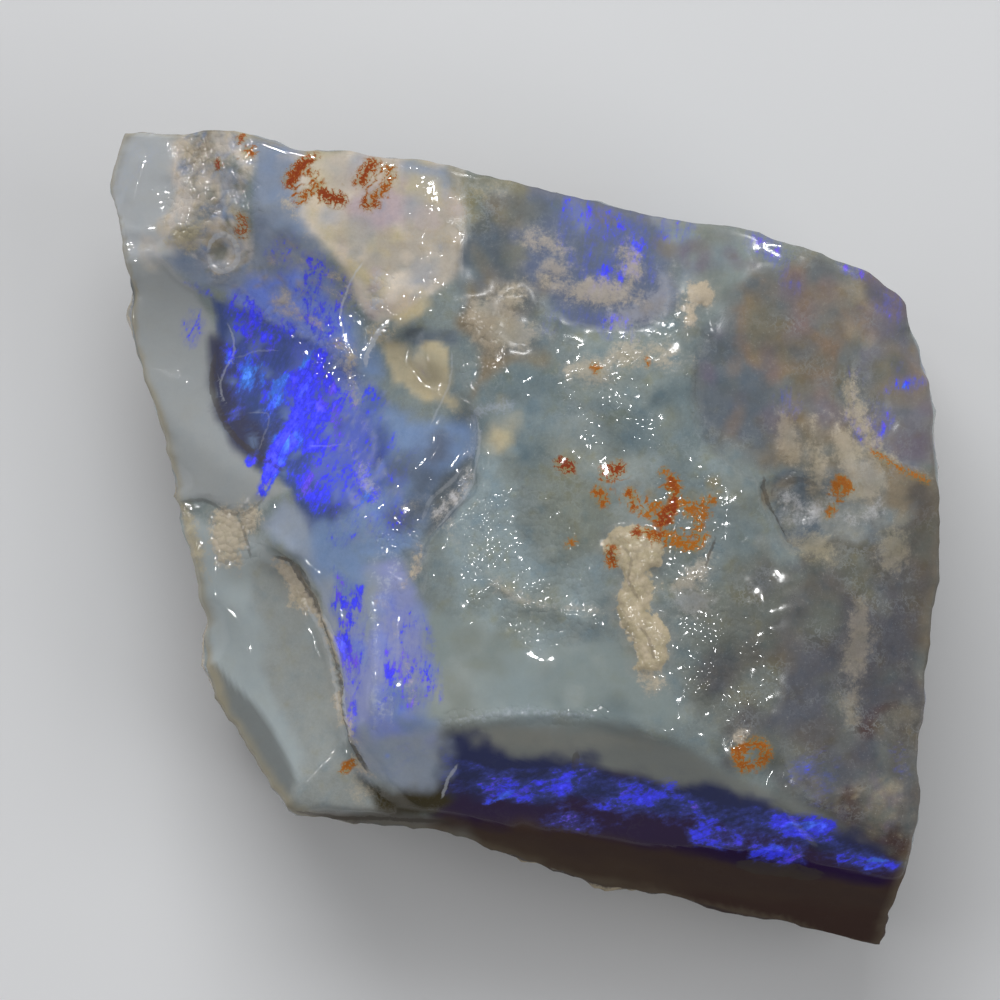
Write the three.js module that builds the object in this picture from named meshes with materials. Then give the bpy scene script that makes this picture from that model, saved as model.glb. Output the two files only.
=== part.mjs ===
// Rough opal: one broken piece of grey opal, lying on its back with its blue-fired face up.
// Millimetres, +Z up. The origin is under the middle of the stone, on the surface that it rests on.
import * as THREE from "three";
import { mergeVertices } from "three/addons/utils/BufferGeometryUtils.js";

// Driving dimensions of the whole stone.
const WIDTH = 42;
const LENGTH = 41;
const HEIGHT = 17.6;

// Steps of the surface net: along each of the four sides, and from the rim down to the base.
const STEPS_ALONG = 42;
const STEPS_DOWN = 8;

// Height of the unbroken face before any flake came off it, and the middle of the net.
const BLANK_TOP = 17.4;
const MIDDLE = new THREE.Vector2(0, -1);

// The outline seen from above, in four runs that meet at the corners of the stone.
const LEFT_EDGE = [
  [-20.1, 20.3], [-21, 17.8], [-20.3, 15.4], [-20.1, 13.3], [-19.7, 12.4], [-20, 11.4], [-19.3, 9],
  [-18.6, 6.2], [-18.1, 4.7], [-17.5, 2.6], [-17.2, 0.3], [-16.6, -1.2], [-16.6, -3], [-16, -4.5],
  [-16.3, -6.3], [-15.4, -8.5], [-13.9, -10.6], [-12.8, -12.4], [-12.2, -13.6], [-11.2, -14.1],
];
const BOTTOM_EDGE = [
  [-11.2, -14.1], [-7.4, -14.5], [-3.3, -15.3], [0, -16.5], [3.6, -17.6], [8.1, -18.4], [12.8, -19.4],
  [16.7, -20.4], [18, -20.6],
];
const RIGHT_EDGE = [
  [18, -20.6], [18.4, -19], [19.4, -16.7], [19.8, -14.6], [19.9, -12], [19.8, -10.8], [20.2, -8.9],
  [20.5, -6], [21, -2.6], [21.1, -0.8], [20.9, 2.5], [20.6, 5.9], [20.2, 9], [19.7, 9.7], [19.6, 10.8],
  [19, 12.1],
];
const TOP_EDGE = [
  [19, 12.1], [17.5, 13.3], [14.7, 14.3], [11, 15.4], [6.9, 16.1], [2.6, 17], [0.3, 17.7], [-2.8, 18.3],
  [-4.5, 18.9], [-8.5, 19.3], [-11.9, 19.6], [-14.4, 20.2], [-17, 20.5], [-17.8, 20.2], [-20.1, 20.3],
];

// Flakes off the face, in the order in which they broke away. Each starts at a lip point on the
// surface that was there before, and falls away from uphill (degrees from +X) with a slope. Curl
// bends it up again further down, and cup lifts its two sides, so that it is a shallow bowl.
const FACE_FLAKES = [
  { name: "top shelf", lip: [0, 8], uphill: -90, slope: 0.13, curl: 0, cup: 0 },
  { name: "upper left shelf", lip: [-4, 13], uphill: -15, slope: 0.14, curl: 0, cup: 0 },
  { name: "right shoulder", lip: [9, 4], uphill: 184, slope: 0.15, curl: -0.006, cup: 0 },
  { name: "lower right shoulder", lip: [10, -7], uphill: 142, slope: 0.2, curl: -0.004, cup: 0 },
  { name: "right slope", lip: [15.4, -8], uphill: 178, slope: 0.6, curl: 0, cup: 0.004 },
  { name: "right bowl", lip: [8.6, 7.4], uphill: 172, slope: 0.36, curl: 0.026, cup: 0.03 },
  { name: "corner facet", lip: [-17.2, 16.6], uphill: -8, slope: 0.8, curl: 0.06, cup: 0.05 },
  { name: "upper left scoop", lip: [-4.3, 5.4], uphill: -11, slope: 0.84, curl: 0.018, cup: 0.07 },
  { name: "edge strip", lip: [-4.1, -5], uphill: 4, slope: 0.3, curl: 0, cup: 0.006 },
  { name: "steep strip", lip: [-7.5, -6], uphill: 2, slope: 0.8, curl: 0, cup: 0.006 },
  { name: "lower left scoop", lip: [-9.6, -4], uphill: 12, slope: 1.15, curl: 0.05, cup: 0.025 },
  { name: "tip facet", lip: [-9.5, -11], uphill: 62, slope: 0.6, curl: 0.03, cup: 0.01 },
  { name: "front slope", lip: [0, -9], uphill: 90, slope: 0.75, curl: 0.012, cup: 0.012 },
  { name: "front slope right", lip: [13, -13.4], uphill: 104, slope: 0.8, curl: 0.02, cup: 0.006 },
  { name: "front foot", lip: [2, -15.3], uphill: 83, slope: 2.5, curl: 0, cup: 0 },
  { name: "right facet", lip: [17.2, 5.4], uphill: 212, slope: 0.55, curl: 0.03, cup: 0.03 },
];

// Ledges: short steps in the face along a broken line. The ground to the left of the line, as it is
// walked, is lower by the drop, and comes back to the level of the face over the reach.
const LEDGES = [
  {
    name: "plateau edge",
    drop: 0.9,
    reach: 5,
    line: [[-5.2, -3.4], [-4.8, 0.5], [-3.1, 2], [-2.1, 4.4], [-2.8, 6.2], [-4.6, 8.4]],
  },
  {
    name: "crack",
    drop: 1.1,
    reach: 4,
    line: [[-7.4, -12], [-9, -10.2], [-9.6, -6], [-10.8, -2.7], [-13, -0.4]],
  },
  {
    name: "right ledge",
    drop: 0.7,
    reach: 5,
    line: [[8.9, 10.5], [8.5, 7.5], [8.5, 5.5], [9.4, 4.4], [12.2, 2.9], [13.4, 0.4]],
  },
  { name: "vein ledge", drop: 0.5, reach: 4, line: [[16, 8], [16.8, 5.4], [18.6, 3.3], [21, 3]] },
].map((ledge) => ({ ...ledge, line: ledge.line.map(([x, y]) => new THREE.Vector2(x, y)) }));
const LEDGE_WIDTH = 1.1;

// Round rises and hollows in the face: middle, radius and height.
const SWELLS = [
  { name: "hollow", at: [14.3, 1.2], radius: 1.9, rise: -1.4 },
  { name: "ring pit", at: [-15.1, 14.3], radius: 1, rise: -0.6 },
  { name: "clay rib top", at: [5.6, -1.4], radius: 1.3, rise: 0.4 },
  { name: "clay rib foot", at: [6.8, -5.4], radius: 1.2, rise: 0.35 },
  { name: "middle dip", at: [1, -3.5], radius: 3.2, rise: -0.5 },
  { name: "fire bulge", at: [-8.6, 9.4], radius: 1.5, rise: 0.5 },
  { name: "left bite", at: [-16.2, -5.2], radius: 1.4, rise: -0.9 },
  { name: "wedge", at: [-11.9, -0.6], radius: 1.5, rise: 0.7 },
  { name: "lower left knob", at: [-14.6, -0.4], radius: 1.3, rise: 0.6 },
  { name: "right dip", at: [12, -6], radius: 3, rise: -0.6 },
];

// Scars on the side walls, as shallow bowls: side, share of the way along it, height, depth, radius.
const WALL_SCARS = [
  { side: "top", along: 0.22, height: 5, depth: 2.6, radius: 14 },
  { side: "top", along: 0.55, height: 7, depth: 2.2, radius: 11 },
  { side: "top", along: 0.84, height: 4, depth: 2.8, radius: 12 },
  { side: "right", along: 0.2, height: 4, depth: 2.2, radius: 12 },
  { side: "right", along: 0.55, height: 6, depth: 2.4, radius: 14 },
  { side: "right", along: 0.88, height: 5, depth: 1.8, radius: 10 },
  { side: "bottom", along: 0.7, height: 1, depth: 1.4, radius: 9 },
  { side: "left", along: 0.08, height: 4, depth: 2, radius: 10 },
];

// How far the walls lean in over their whole height, and the height under the rim over which they
// turn from following the outline.
const WALL_LEAN = 1.4;
const LIP_HEIGHT = 2.5;

// Flakes off the underside. They leave a flat patch in the middle, on which the stone rests.
const UNDER_FLAKES = [
  { name: "left under", lip: [-9, 6], uphill: 172, slope: 0.66, curl: -0.012, cup: -0.012 },
  { name: "lower left under", lip: [-8, -5], uphill: 215, slope: 0.62, curl: -0.02, cup: -0.02 },
  { name: "corner under", lip: [-9.5, 11], uphill: 128, slope: 0.8, curl: -0.01, cup: 0 },
  { name: "top under", lip: [-1, 14], uphill: 84, slope: 0.5, curl: -0.04, cup: -0.008 },
  { name: "right under", lip: [15, 3], uphill: 10, slope: 0.45, curl: -0.03, cup: -0.012 },
  { name: "front under", lip: [6, -13], uphill: -80, slope: 0.5, curl: -0.03, cup: -0.01 },
  { name: "front corner under", lip: [13, -12.5], uphill: -40, slope: 0.34, curl: 0, cup: 0 },
];

// Least thickness left at the rim.
const RIM_THICKNESS = 1.4;

// Unevenness of broken opal: size of the lumps, how far they stand out, and how many times further
// they do so on the underside.
const LUMP_SIZE = 3.6;
const LUMP_RISE = 0.22;
const UNDERSIDE_LUMPS = 2;

// Colour and gloss of the wet grey opal.
const OPAL_COLOUR = 0x7f8a92;
const OPAL_ROUGHNESS = 0.25;

// Distance on the square net under which two of its points are one.
const TOUCH = 1e-6;

// Runs from 0 to 1 without a corner at either end.
const easeIn = (t) => THREE.MathUtils.smoothstep(t, 0, 1);

// A repeatable random number from 0 to 1 for a corner of the noise lattice. The odd factors only
// scatter the numbers.
function cornerValue(i, j, k) {
  const wave = Math.sin(i * 127.1 + j * 311.7 + k * 74.7) * 43758.5453;
  return wave - Math.floor(wave);
}

// Smooth noise from -1 to 1.
function noise(x, y, z) {
  const [i, j, k] = [x, y, z].map(Math.floor);
  const [u, v, w] = [x - i, y - j, z - k].map(easeIn);
  const mix = THREE.MathUtils.lerp;
  const row = (b, c) => mix(cornerValue(i, b, c), cornerValue(i + 1, b, c), u);
  const sheet = (c) => mix(row(j, c), row(j + 1, c), v);
  return 2 * mix(sheet(k), sheet(k + 1), w) - 1;
}

const lumps = (x, y, z) => LUMP_RISE * noise(x / LUMP_SIZE, y / LUMP_SIZE, z / LUMP_SIZE);

// Height of one flake's bowl above its lip, at a point: along is measured uphill, across beside it.
function bowl(flake, x, y) {
  const angle = THREE.MathUtils.degToRad(flake.uphill);
  const [dx, dy] = [x - flake.lip[0], y - flake.lip[1]];
  const along = dx * Math.cos(angle) + dy * Math.sin(angle);
  const across = dy * Math.cos(angle) - dx * Math.sin(angle);
  return flake.slope * along + flake.curl * along * along + flake.cup * across * across;
}

// The height that is left when the flakes have been struck, one after another, off a level blank.
// A flake's lip lies on what the flakes before it left. Keep takes the lower or the higher of two.
function strike(flakes, blank, keep) {
  const struck = [];
  const height = (x, y) => struck.reduce((z, flake) => keep(z, flake.start + bowl(flake, x, y)), blank);
  for (const flake of flakes) {
    struck.push({ ...flake, start: height(...flake.lip) });
  }
  return height;
}

const brokenFace = strike(FACE_FLAKES, BLANK_TOP, Math.min);
const brokenUnderside = strike(UNDER_FLAKES, 0, Math.max);

// Distance from a point to a line of points, positive to the left of the way it is walked.
function sideOf(line, point) {
  let nearest = Infinity;
  let side = 1;
  for (let i = 1; i < line.length; i += 1) {
    const run = line[i].clone().sub(line[i - 1]);
    const from = point.clone().sub(line[i - 1]);
    const share = THREE.MathUtils.clamp(from.dot(run) / run.lengthSq(), 0, 1);
    const distance = from.clone().sub(run.clone().multiplyScalar(share)).length();
    if (distance < nearest) {
      nearest = distance;
      side = Math.sign(run.cross(from)) || 1;
    }
  }
  return side * nearest;
}

function ledges(x, y) {
  const point = new THREE.Vector2(x, y);
  return LEDGES.reduce((sum, { line, drop, reach }) => {
    const side = sideOf(line, point);
    const step = easeIn(side / LEDGE_WIDTH + 0.5);
    const fade = easeIn(1 - Math.abs(side) / reach);
    return sum - drop * step * fade;
  }, 0);
}

const swells = (x, y) =>
  SWELLS.reduce((sum, { at, radius, rise }) => {
    const away = Math.hypot(x - at[0], y - at[1]) / radius;
    return sum + rise * Math.exp(-away * away);
  }, 0);

const faceHeight = (x, y) => brokenFace(x, y) + ledges(x, y) + swells(x, y) + lumps(x, y, BLANK_TOP);

// The underside is level where it rests, and its bevels grow uneven as they rise.
function underHeight(x, y) {
  const rise = brokenUnderside(x, y);
  const uneven = UNDERSIDE_LUMPS * lumps(x, y, 0) * easeIn(rise / LIP_HEIGHT);
  return Math.min(rise + uneven, faceHeight(x, y) - RIM_THICKNESS);
}

// Points at equal steps along an edge of the outline.
function stepsAlong(edge) {
  const path = new THREE.CurvePath();
  for (let i = 1; i < edge.length; i += 1) {
    path.add(new THREE.LineCurve(new THREE.Vector2(...edge[i - 1]), new THREE.Vector2(...edge[i])));
  }
  return path.getSpacedPoints(STEPS_ALONG);
}

// The outline as one ring of points, starting at the upper left corner and going round by the bottom.
const SIDES = ["left", "bottom", "right", "top"];
const RING = [LEFT_EDGE, BOTTOM_EDGE, RIGHT_EDGE, TOP_EDGE].flatMap((edge) => stepsAlong(edge).slice(0, -1));
const rimHeight = RING.map((point) => faceHeight(point.x, point.y));
const sideLength = RING.reduce((sum, point, i) => sum + point.distanceTo(RING[(i + 1) % RING.length]), 0) / 4;

// How far the wall lies inside the outline, at a place on the ring and a height.
function wallInset(place, height) {
  const below = rimHeight[place] - height;
  const bites = WALL_SCARS.map((scar) => {
    const home = SIDES.indexOf(scar.side) * STEPS_ALONG + scar.along * STEPS_ALONG;
    const round = Math.abs(place - home);
    const along = (Math.min(round, RING.length - round) / STEPS_ALONG) * sideLength;
    const up = height - scar.height;
    return scar.depth - (along * along + up * up) / (2 * scar.radius);
  });
  const lean = (WALL_LEAN * below) / BLANK_TOP;
  return Math.max(lean, ...bites) * easeIn(below / LIP_HEIGHT);
}

function wallPoint(place, height) {
  const rim = RING[place];
  const inward = MIDDLE.clone().sub(rim).normalize();
  const swell = lumps(rim.x, rim.y, height) * easeIn((rimHeight[place] - height) / LIP_HEIGHT);
  return rim.clone().addScaledVector(inward, wallInset(place, height) + swell);
}

// Where the wall meets the underside at each place on the ring.
const FOOT = RING.map((rim, place) => {
  const guess = wallPoint(place, underHeight(rim.x, rim.y));
  return { point: guess, height: underHeight(guess.x, guess.y) };
});

// A net point's share of the way out from the middle, and its place on the ring, from where it
// stands on the square.
function placeOnNet(u, v) {
  const out = Math.max(Math.abs(u), Math.abs(v));
  if (out < TOUCH) {
    return { out: 0, place: 0 };
  }
  const [a, b] = [u / out, v / out];
  let share = 3 + (1 - a) / 2;
  if (a < TOUCH - 1) {
    share = (1 - b) / 2;
  } else if (b < TOUCH - 1) {
    share = 1 + (1 + a) / 2;
  } else if (a > 1 - TOUCH) {
    share = 2 + (1 + b) / 2;
  }
  return { out, place: share * STEPS_ALONG };
}

// A point on the ring between two of its places.
function between(ring, place) {
  const low = Math.floor(place + TOUCH);
  const share = Math.max(place - low, 0);
  return ring[low % ring.length].clone().lerp(ring[(low + 1) % ring.length], share);
}

// Moves each point of a divided box to the stone's surface: its top becomes the face, its four
// sides the walls, and its bottom the underside.
function shapeStone(box) {
  const points = box.getAttribute("position");
  const footRing = FOOT.map((foot) => foot.point);
  for (let i = 0; i < points.count; i += 1) {
    const [u, v, w] = [points.getX(i), points.getY(i), points.getZ(i)];
    const { out, place } = placeOnNet(u, v);
    if (w > 1 - TOUCH) {
      const flat = between(RING, place).lerp(MIDDLE, 1 - out);
      points.setXYZ(i, flat.x, flat.y, faceHeight(flat.x, flat.y));
    } else if (w < TOUCH - 1) {
      const flat = between(footRing, place).lerp(MIDDLE, 1 - out);
      points.setXYZ(i, flat.x, flat.y, underHeight(flat.x, flat.y));
    } else {
      const ringPlace = Math.round(place) % RING.length;
      const height = THREE.MathUtils.lerp(FOOT[ringPlace].height, rimHeight[ringPlace], (w + 1) / 2);
      const wall = wallPoint(ringPlace, height);
      points.setXYZ(i, wall.x, wall.y, height);
    }
  }
  return box;
}

// Scales the shape to the driving dimensions and stands it on the origin.
function fitToSize(geometry) {
  geometry.computeBoundingBox();
  const { min, max } = geometry.boundingBox;
  geometry.translate(-(min.x + max.x) / 2, -(min.y + max.y) / 2, -min.z);
  geometry.scale(WIDTH / (max.x - min.x), LENGTH / (max.y - min.y), HEIGHT / (max.z - min.z));
  return geometry;
}

function makeStone() {
  const box = new THREE.BoxGeometry(2, 2, 2, STEPS_ALONG, STEPS_ALONG, STEPS_DOWN);
  box.deleteAttribute("normal");
  box.deleteAttribute("uv");
  const geometry = fitToSize(shapeStone(mergeVertices(box)));
  geometry.computeVertexNormals();
  const greyOpal = new THREE.MeshStandardMaterial({
    color: OPAL_COLOUR,
    roughness: OPAL_ROUGHNESS,
    metalness: 0,
  });
  const stone = new THREE.Mesh(geometry, greyOpal);
  stone.name = "rough_opal";
  return stone;
}

const group = new THREE.Group();
group.add(makeStone());
export default group;
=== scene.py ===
"""Dresses the rough opal: its fine broken surface, blue fire, clay, rust and wet gloss, on a pale floor.

Markings are given as pixels of the photograph, which place() turns into millimetres. All other
sizes of the surface are in millimetres, on the frame's own axes: x to the right, y away and z up, with
the origin under the middle of the stone. Meshes and lamps are in metres, and colours are 0 to 255.
"""

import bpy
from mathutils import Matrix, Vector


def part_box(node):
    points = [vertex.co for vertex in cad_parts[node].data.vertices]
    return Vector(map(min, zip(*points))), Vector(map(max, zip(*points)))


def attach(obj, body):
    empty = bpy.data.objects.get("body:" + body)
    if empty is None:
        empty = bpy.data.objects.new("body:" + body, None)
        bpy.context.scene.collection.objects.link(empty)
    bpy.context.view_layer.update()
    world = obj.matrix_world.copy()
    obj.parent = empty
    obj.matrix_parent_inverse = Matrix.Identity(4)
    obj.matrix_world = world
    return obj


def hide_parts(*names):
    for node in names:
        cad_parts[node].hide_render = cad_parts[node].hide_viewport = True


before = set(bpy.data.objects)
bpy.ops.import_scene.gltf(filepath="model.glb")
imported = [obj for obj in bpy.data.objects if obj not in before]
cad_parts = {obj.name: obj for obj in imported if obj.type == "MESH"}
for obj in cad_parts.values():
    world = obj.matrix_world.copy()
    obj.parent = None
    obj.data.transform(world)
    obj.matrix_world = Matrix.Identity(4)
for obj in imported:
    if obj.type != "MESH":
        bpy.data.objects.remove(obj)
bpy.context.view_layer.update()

import math

import bmesh
import bpy
import numpy as np
from mathutils import Vector

bl_info = {
    "name": "Rough Opal",
    "version": (1, 0, 0),
    "blender": (4, 5, 0),
    "location": "View3D > Sidebar > Opal",
    "description": "Finishes a rough opal's surface and sets its stage",
    "category": "Add Mesh",
}

NODE = "rough_opal"
PIECE = "opal_stone"
BODY = "root"
MM = 0.001

# The photograph's scale, and the pixel that lies over the origin of the frame.
PIXELS_PER_MM = 20
MIDDLE = (524, 537.5)

# How far past a shape's corners it is worked out, in mm.
MARGIN = 2.5

# Directions of the fire's streaks, in degrees.
SCOOP_TURN = 64
STRIP_TURN = 82
TOP_TURN = 80
FRONT_TURN = 14

# Borders between those directions, in mm: the right end of the scoop and the strip, the top of the strip
# and the top of the front slope.
WEST_END = -3
STRIP_TOP = -1
FRONT_TOP = -10

# The front wall's upper edge: y at x = 0, the fall of y for each mm to the right, and its left end.
FRONT_EDGE = -14
FRONT_FALL = 0.112
FRONT_LEFT = -9

# Heights on the walls, in mm: the middle of the crust's upper border, and the lower and upper border of
# the bar of fire, each from where there is none of it to where it is full.
CRUST_TOP = 4.5
BAR_FOOT = (11.2, 12.2)
BAR_TOP = (14.6, 13.4)

# Wobble of the markings' borders: size in mm and seeds. The last seed places the small clouds.
WOBBLE_SIZE = 2.4
WOBBLE_SEEDS = (11, 23, 37, 41, 53)
CLOUD_SEED = 5

# Unevenness of the surface: size of its lumps in mm, and seed.
SWELL = (5.0, 61)
LUMPS = (2.2, 67)
BUMPS = (0.8, 71)
CRUMBS = (0.6, 73)
VEIN_LUMPS = (0.9, 74)

# Shell-like bowls in the walls, the face and the outline: size in mm, and seed.
WALL_BOWLS = (4.2, 79)
SMALL_WALL_BOWLS = (1.9, 83)
FACE_BOWLS = (2.6, 89)
RIM_BOWLS = (2.1, 97)
SMALL_RIM_BOWLS = (1.0, 101)

# Half the stone's width in mm, for the rim's bowls.
RIM_RADIUS = 21

# Points up to this height above the model's foot stay where they are, in mm.
FOOT_HEIGHT = 0.02

# Angles of the model, in degrees: from the first an edge stays crisp, and below the other two, of bend and
# of shape, triangles are joined into one face.
CRISP_ANGLE = 38
FLAT_ANGLE = 50
SKEW_ANGLE = 60

# How crisp such an edge stays, from 0 to 1.
CRISPNESS = 0.6

# Factors that mix a lattice corner and a seed into a random number, and the 32 bits that are kept.
PRIMES = (374761393, 668265263, 1440662683, 1274126177)
WORD = 0xFFFFFFFF

# Soft lamps: name, place and size in metres, and share of the soft light.
SOFT_LAMPS = [
    ("soft_top", (-0.06, 0.36, 0.36), 0.36, 1.5),
    ("soft_left", (-0.46, 0.02, 0.28), 0.4, 0.45),
    ("soft_right", (0.42, -0.1, 0.3), 0.4, 0.75),
]

# Rows of small lamps, whose images sparkle on the wet stone: name, place of the first, step to the next,
# number, size in metres, and share of a small lamp's power.
SMALL_LAMPS = [
    ("lamp_top", (0.02, 0.1, 0.3), (0.022, 0.006, 0), 2, 0.008, 0.8),
    ("lamp_left", (-0.09, 0.1, 0.3), (0.02, 0.012, 0), 2, 0.008, 0.8),
    ("lamp_right", (0.13, -0.02, 0.3), (0, 0, 0), 1, 0.008, 0.8),
    ("lamp_low", (0.05, -0.085, 0.3), (0, 0, 0), 1, 0.008, 0.8),
    ("lamp_far_left", (-0.2, 0.06, 0.28), (0, 0, 0), 1, 0.008, 0.9),
    ("lamp_low_left", (-0.33, -0.15, 0.12), (0, 0.04, 0), 3, 0.006, 0.5),
]

# What the lamps point at, and half the floor's width, in metres.
LAMP_AIM = (0, 0, 0.015)
FLOOR_HALF = 1.5


def place(x, y):
    """Where a pixel of the photograph lies on the stone, in mm, to the nearest 0.05."""
    return round(x - MIDDLE[0]) / PIXELS_PER_MM, round(MIDDLE[1] - y) / PIXELS_PER_MM


def places(pixels):
    """Where the pixels of a line lie on the stone, in mm."""
    return [place(*pixel) for pixel in pixels]


def curve(line, steps=4):
    """A line with its corners rounded, through the same points."""
    line = np.array(line, float)
    if len(line) < 3:
        return line
    before = np.vstack([line[:1], line[:-2]])
    after = np.vstack([line[2:], line[-1:]])
    rounded = [line[:1]]
    for p0, p1, p2, p3 in zip(before, line[:-1], line[1:], after):
        for step in range(1, steps + 1):
            t = step / steps
            bend = p1 * 2 + (p2 - p0) * t + (p0 * 2 - p1 * 5 + p2 * 4 - p3) * t**2
            rounded.append([(bend + (p1 * 3 - p0 - p2 * 3 + p3) * t**3) / 2])
    return np.vstack(rounded)


def line_sides(points, line):
    """Distance to a line, above 0 on its left as it is walked, and the share of the way along it."""
    lengths = np.linalg.norm(np.diff(line, axis=0), axis=1)
    walked = np.concatenate([[0], np.cumsum(lengths)])
    nearest = np.full(len(points), np.inf)
    side = np.ones(len(points))
    along = np.zeros(len(points))
    for start, end, length, before in zip(line, line[1:], lengths, walked):
        run = end - start
        offset = points - start
        share = np.clip(offset @ run / length**2, 0, 1)
        distance = np.linalg.norm(offset - share[:, None] * run, axis=1)
        closer = distance < nearest
        nearest = np.where(closer, distance, nearest)
        turn = np.where(run[0] * offset[:, 1] - run[1] * offset[:, 0] < 0, -1, 1)
        side = np.where(closer, turn, side)
        along = np.where(closer, (before + share * length) / walked[-1], along)
    return side * nearest, along


class Shape:
    """A marking's outline on the face."""

    def __init__(self, corners, inside, reach=0.0):
        corners = np.array(corners, float)
        self.low = corners.min(axis=0) - reach - MARGIN
        self.high = corners.max(axis=0) + reach + MARGIN
        self.inside = inside

    def depth(self, points):
        """How deep points lie inside the shape, in mm, below 0 outside it."""
        near = ((points > self.low) & (points < self.high)).all(axis=1)
        depth = np.full(len(points), -MARGIN)
        depth[near] = self.inside(points[near])
        return depth


def area(*pixels):
    """A closed outline, given by its corners' pixels."""
    corners = places(pixels)
    loop = np.array([*corners, corners[0]], float)

    def inside(points):
        distance = np.abs(line_sides(points, loop)[0])
        within = np.zeros(len(points), bool)
        for start, end in zip(loop, loop[1:]):
            crosses = (start[1] > points[:, 1]) != (end[1] > points[:, 1])
            rise = (end[1] - start[1]) or 1
            at = start[0] + (points[:, 1] - start[1]) / rise * (end[0] - start[0])
            within ^= crosses & (points[:, 0] < at)
        return np.where(within, distance, -distance)

    return Shape(corners, inside)


def oval(x, y, wide, tall, turn):
    """An oval, given by its middle and half widths in mm, and the turn of the wide one in degrees."""
    angle = math.radians(turn)

    def inside(points):
        dx, dy = points[:, 0] - x, points[:, 1] - y
        u = (dx * math.cos(angle) + dy * math.sin(angle)) / wide
        v = (dy * math.cos(angle) - dx * math.sin(angle)) / tall
        return (1 - np.hypot(u, v)) * min(wide, tall)

    return Shape([(x, y)], inside, max(wide, tall))


def spot(x, y, wide, tall=None, turn=0):
    """A round or oval spot at a pixel, with its half widths in mm and its turn in degrees."""
    return oval(*place(x, y), wide, tall or wide, turn)


def streak(width, *pixels):
    """A line through pixels with a half width in mm, which thins towards both ends."""
    line = curve(places(pixels))

    def inside(points):
        side, along = line_sides(points, line)
        thin = np.sqrt(np.clip(4 * along * (1 - along), 0.05, 1))
        return width * thin - np.abs(side)

    return Shape(line, inside, width)


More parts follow.
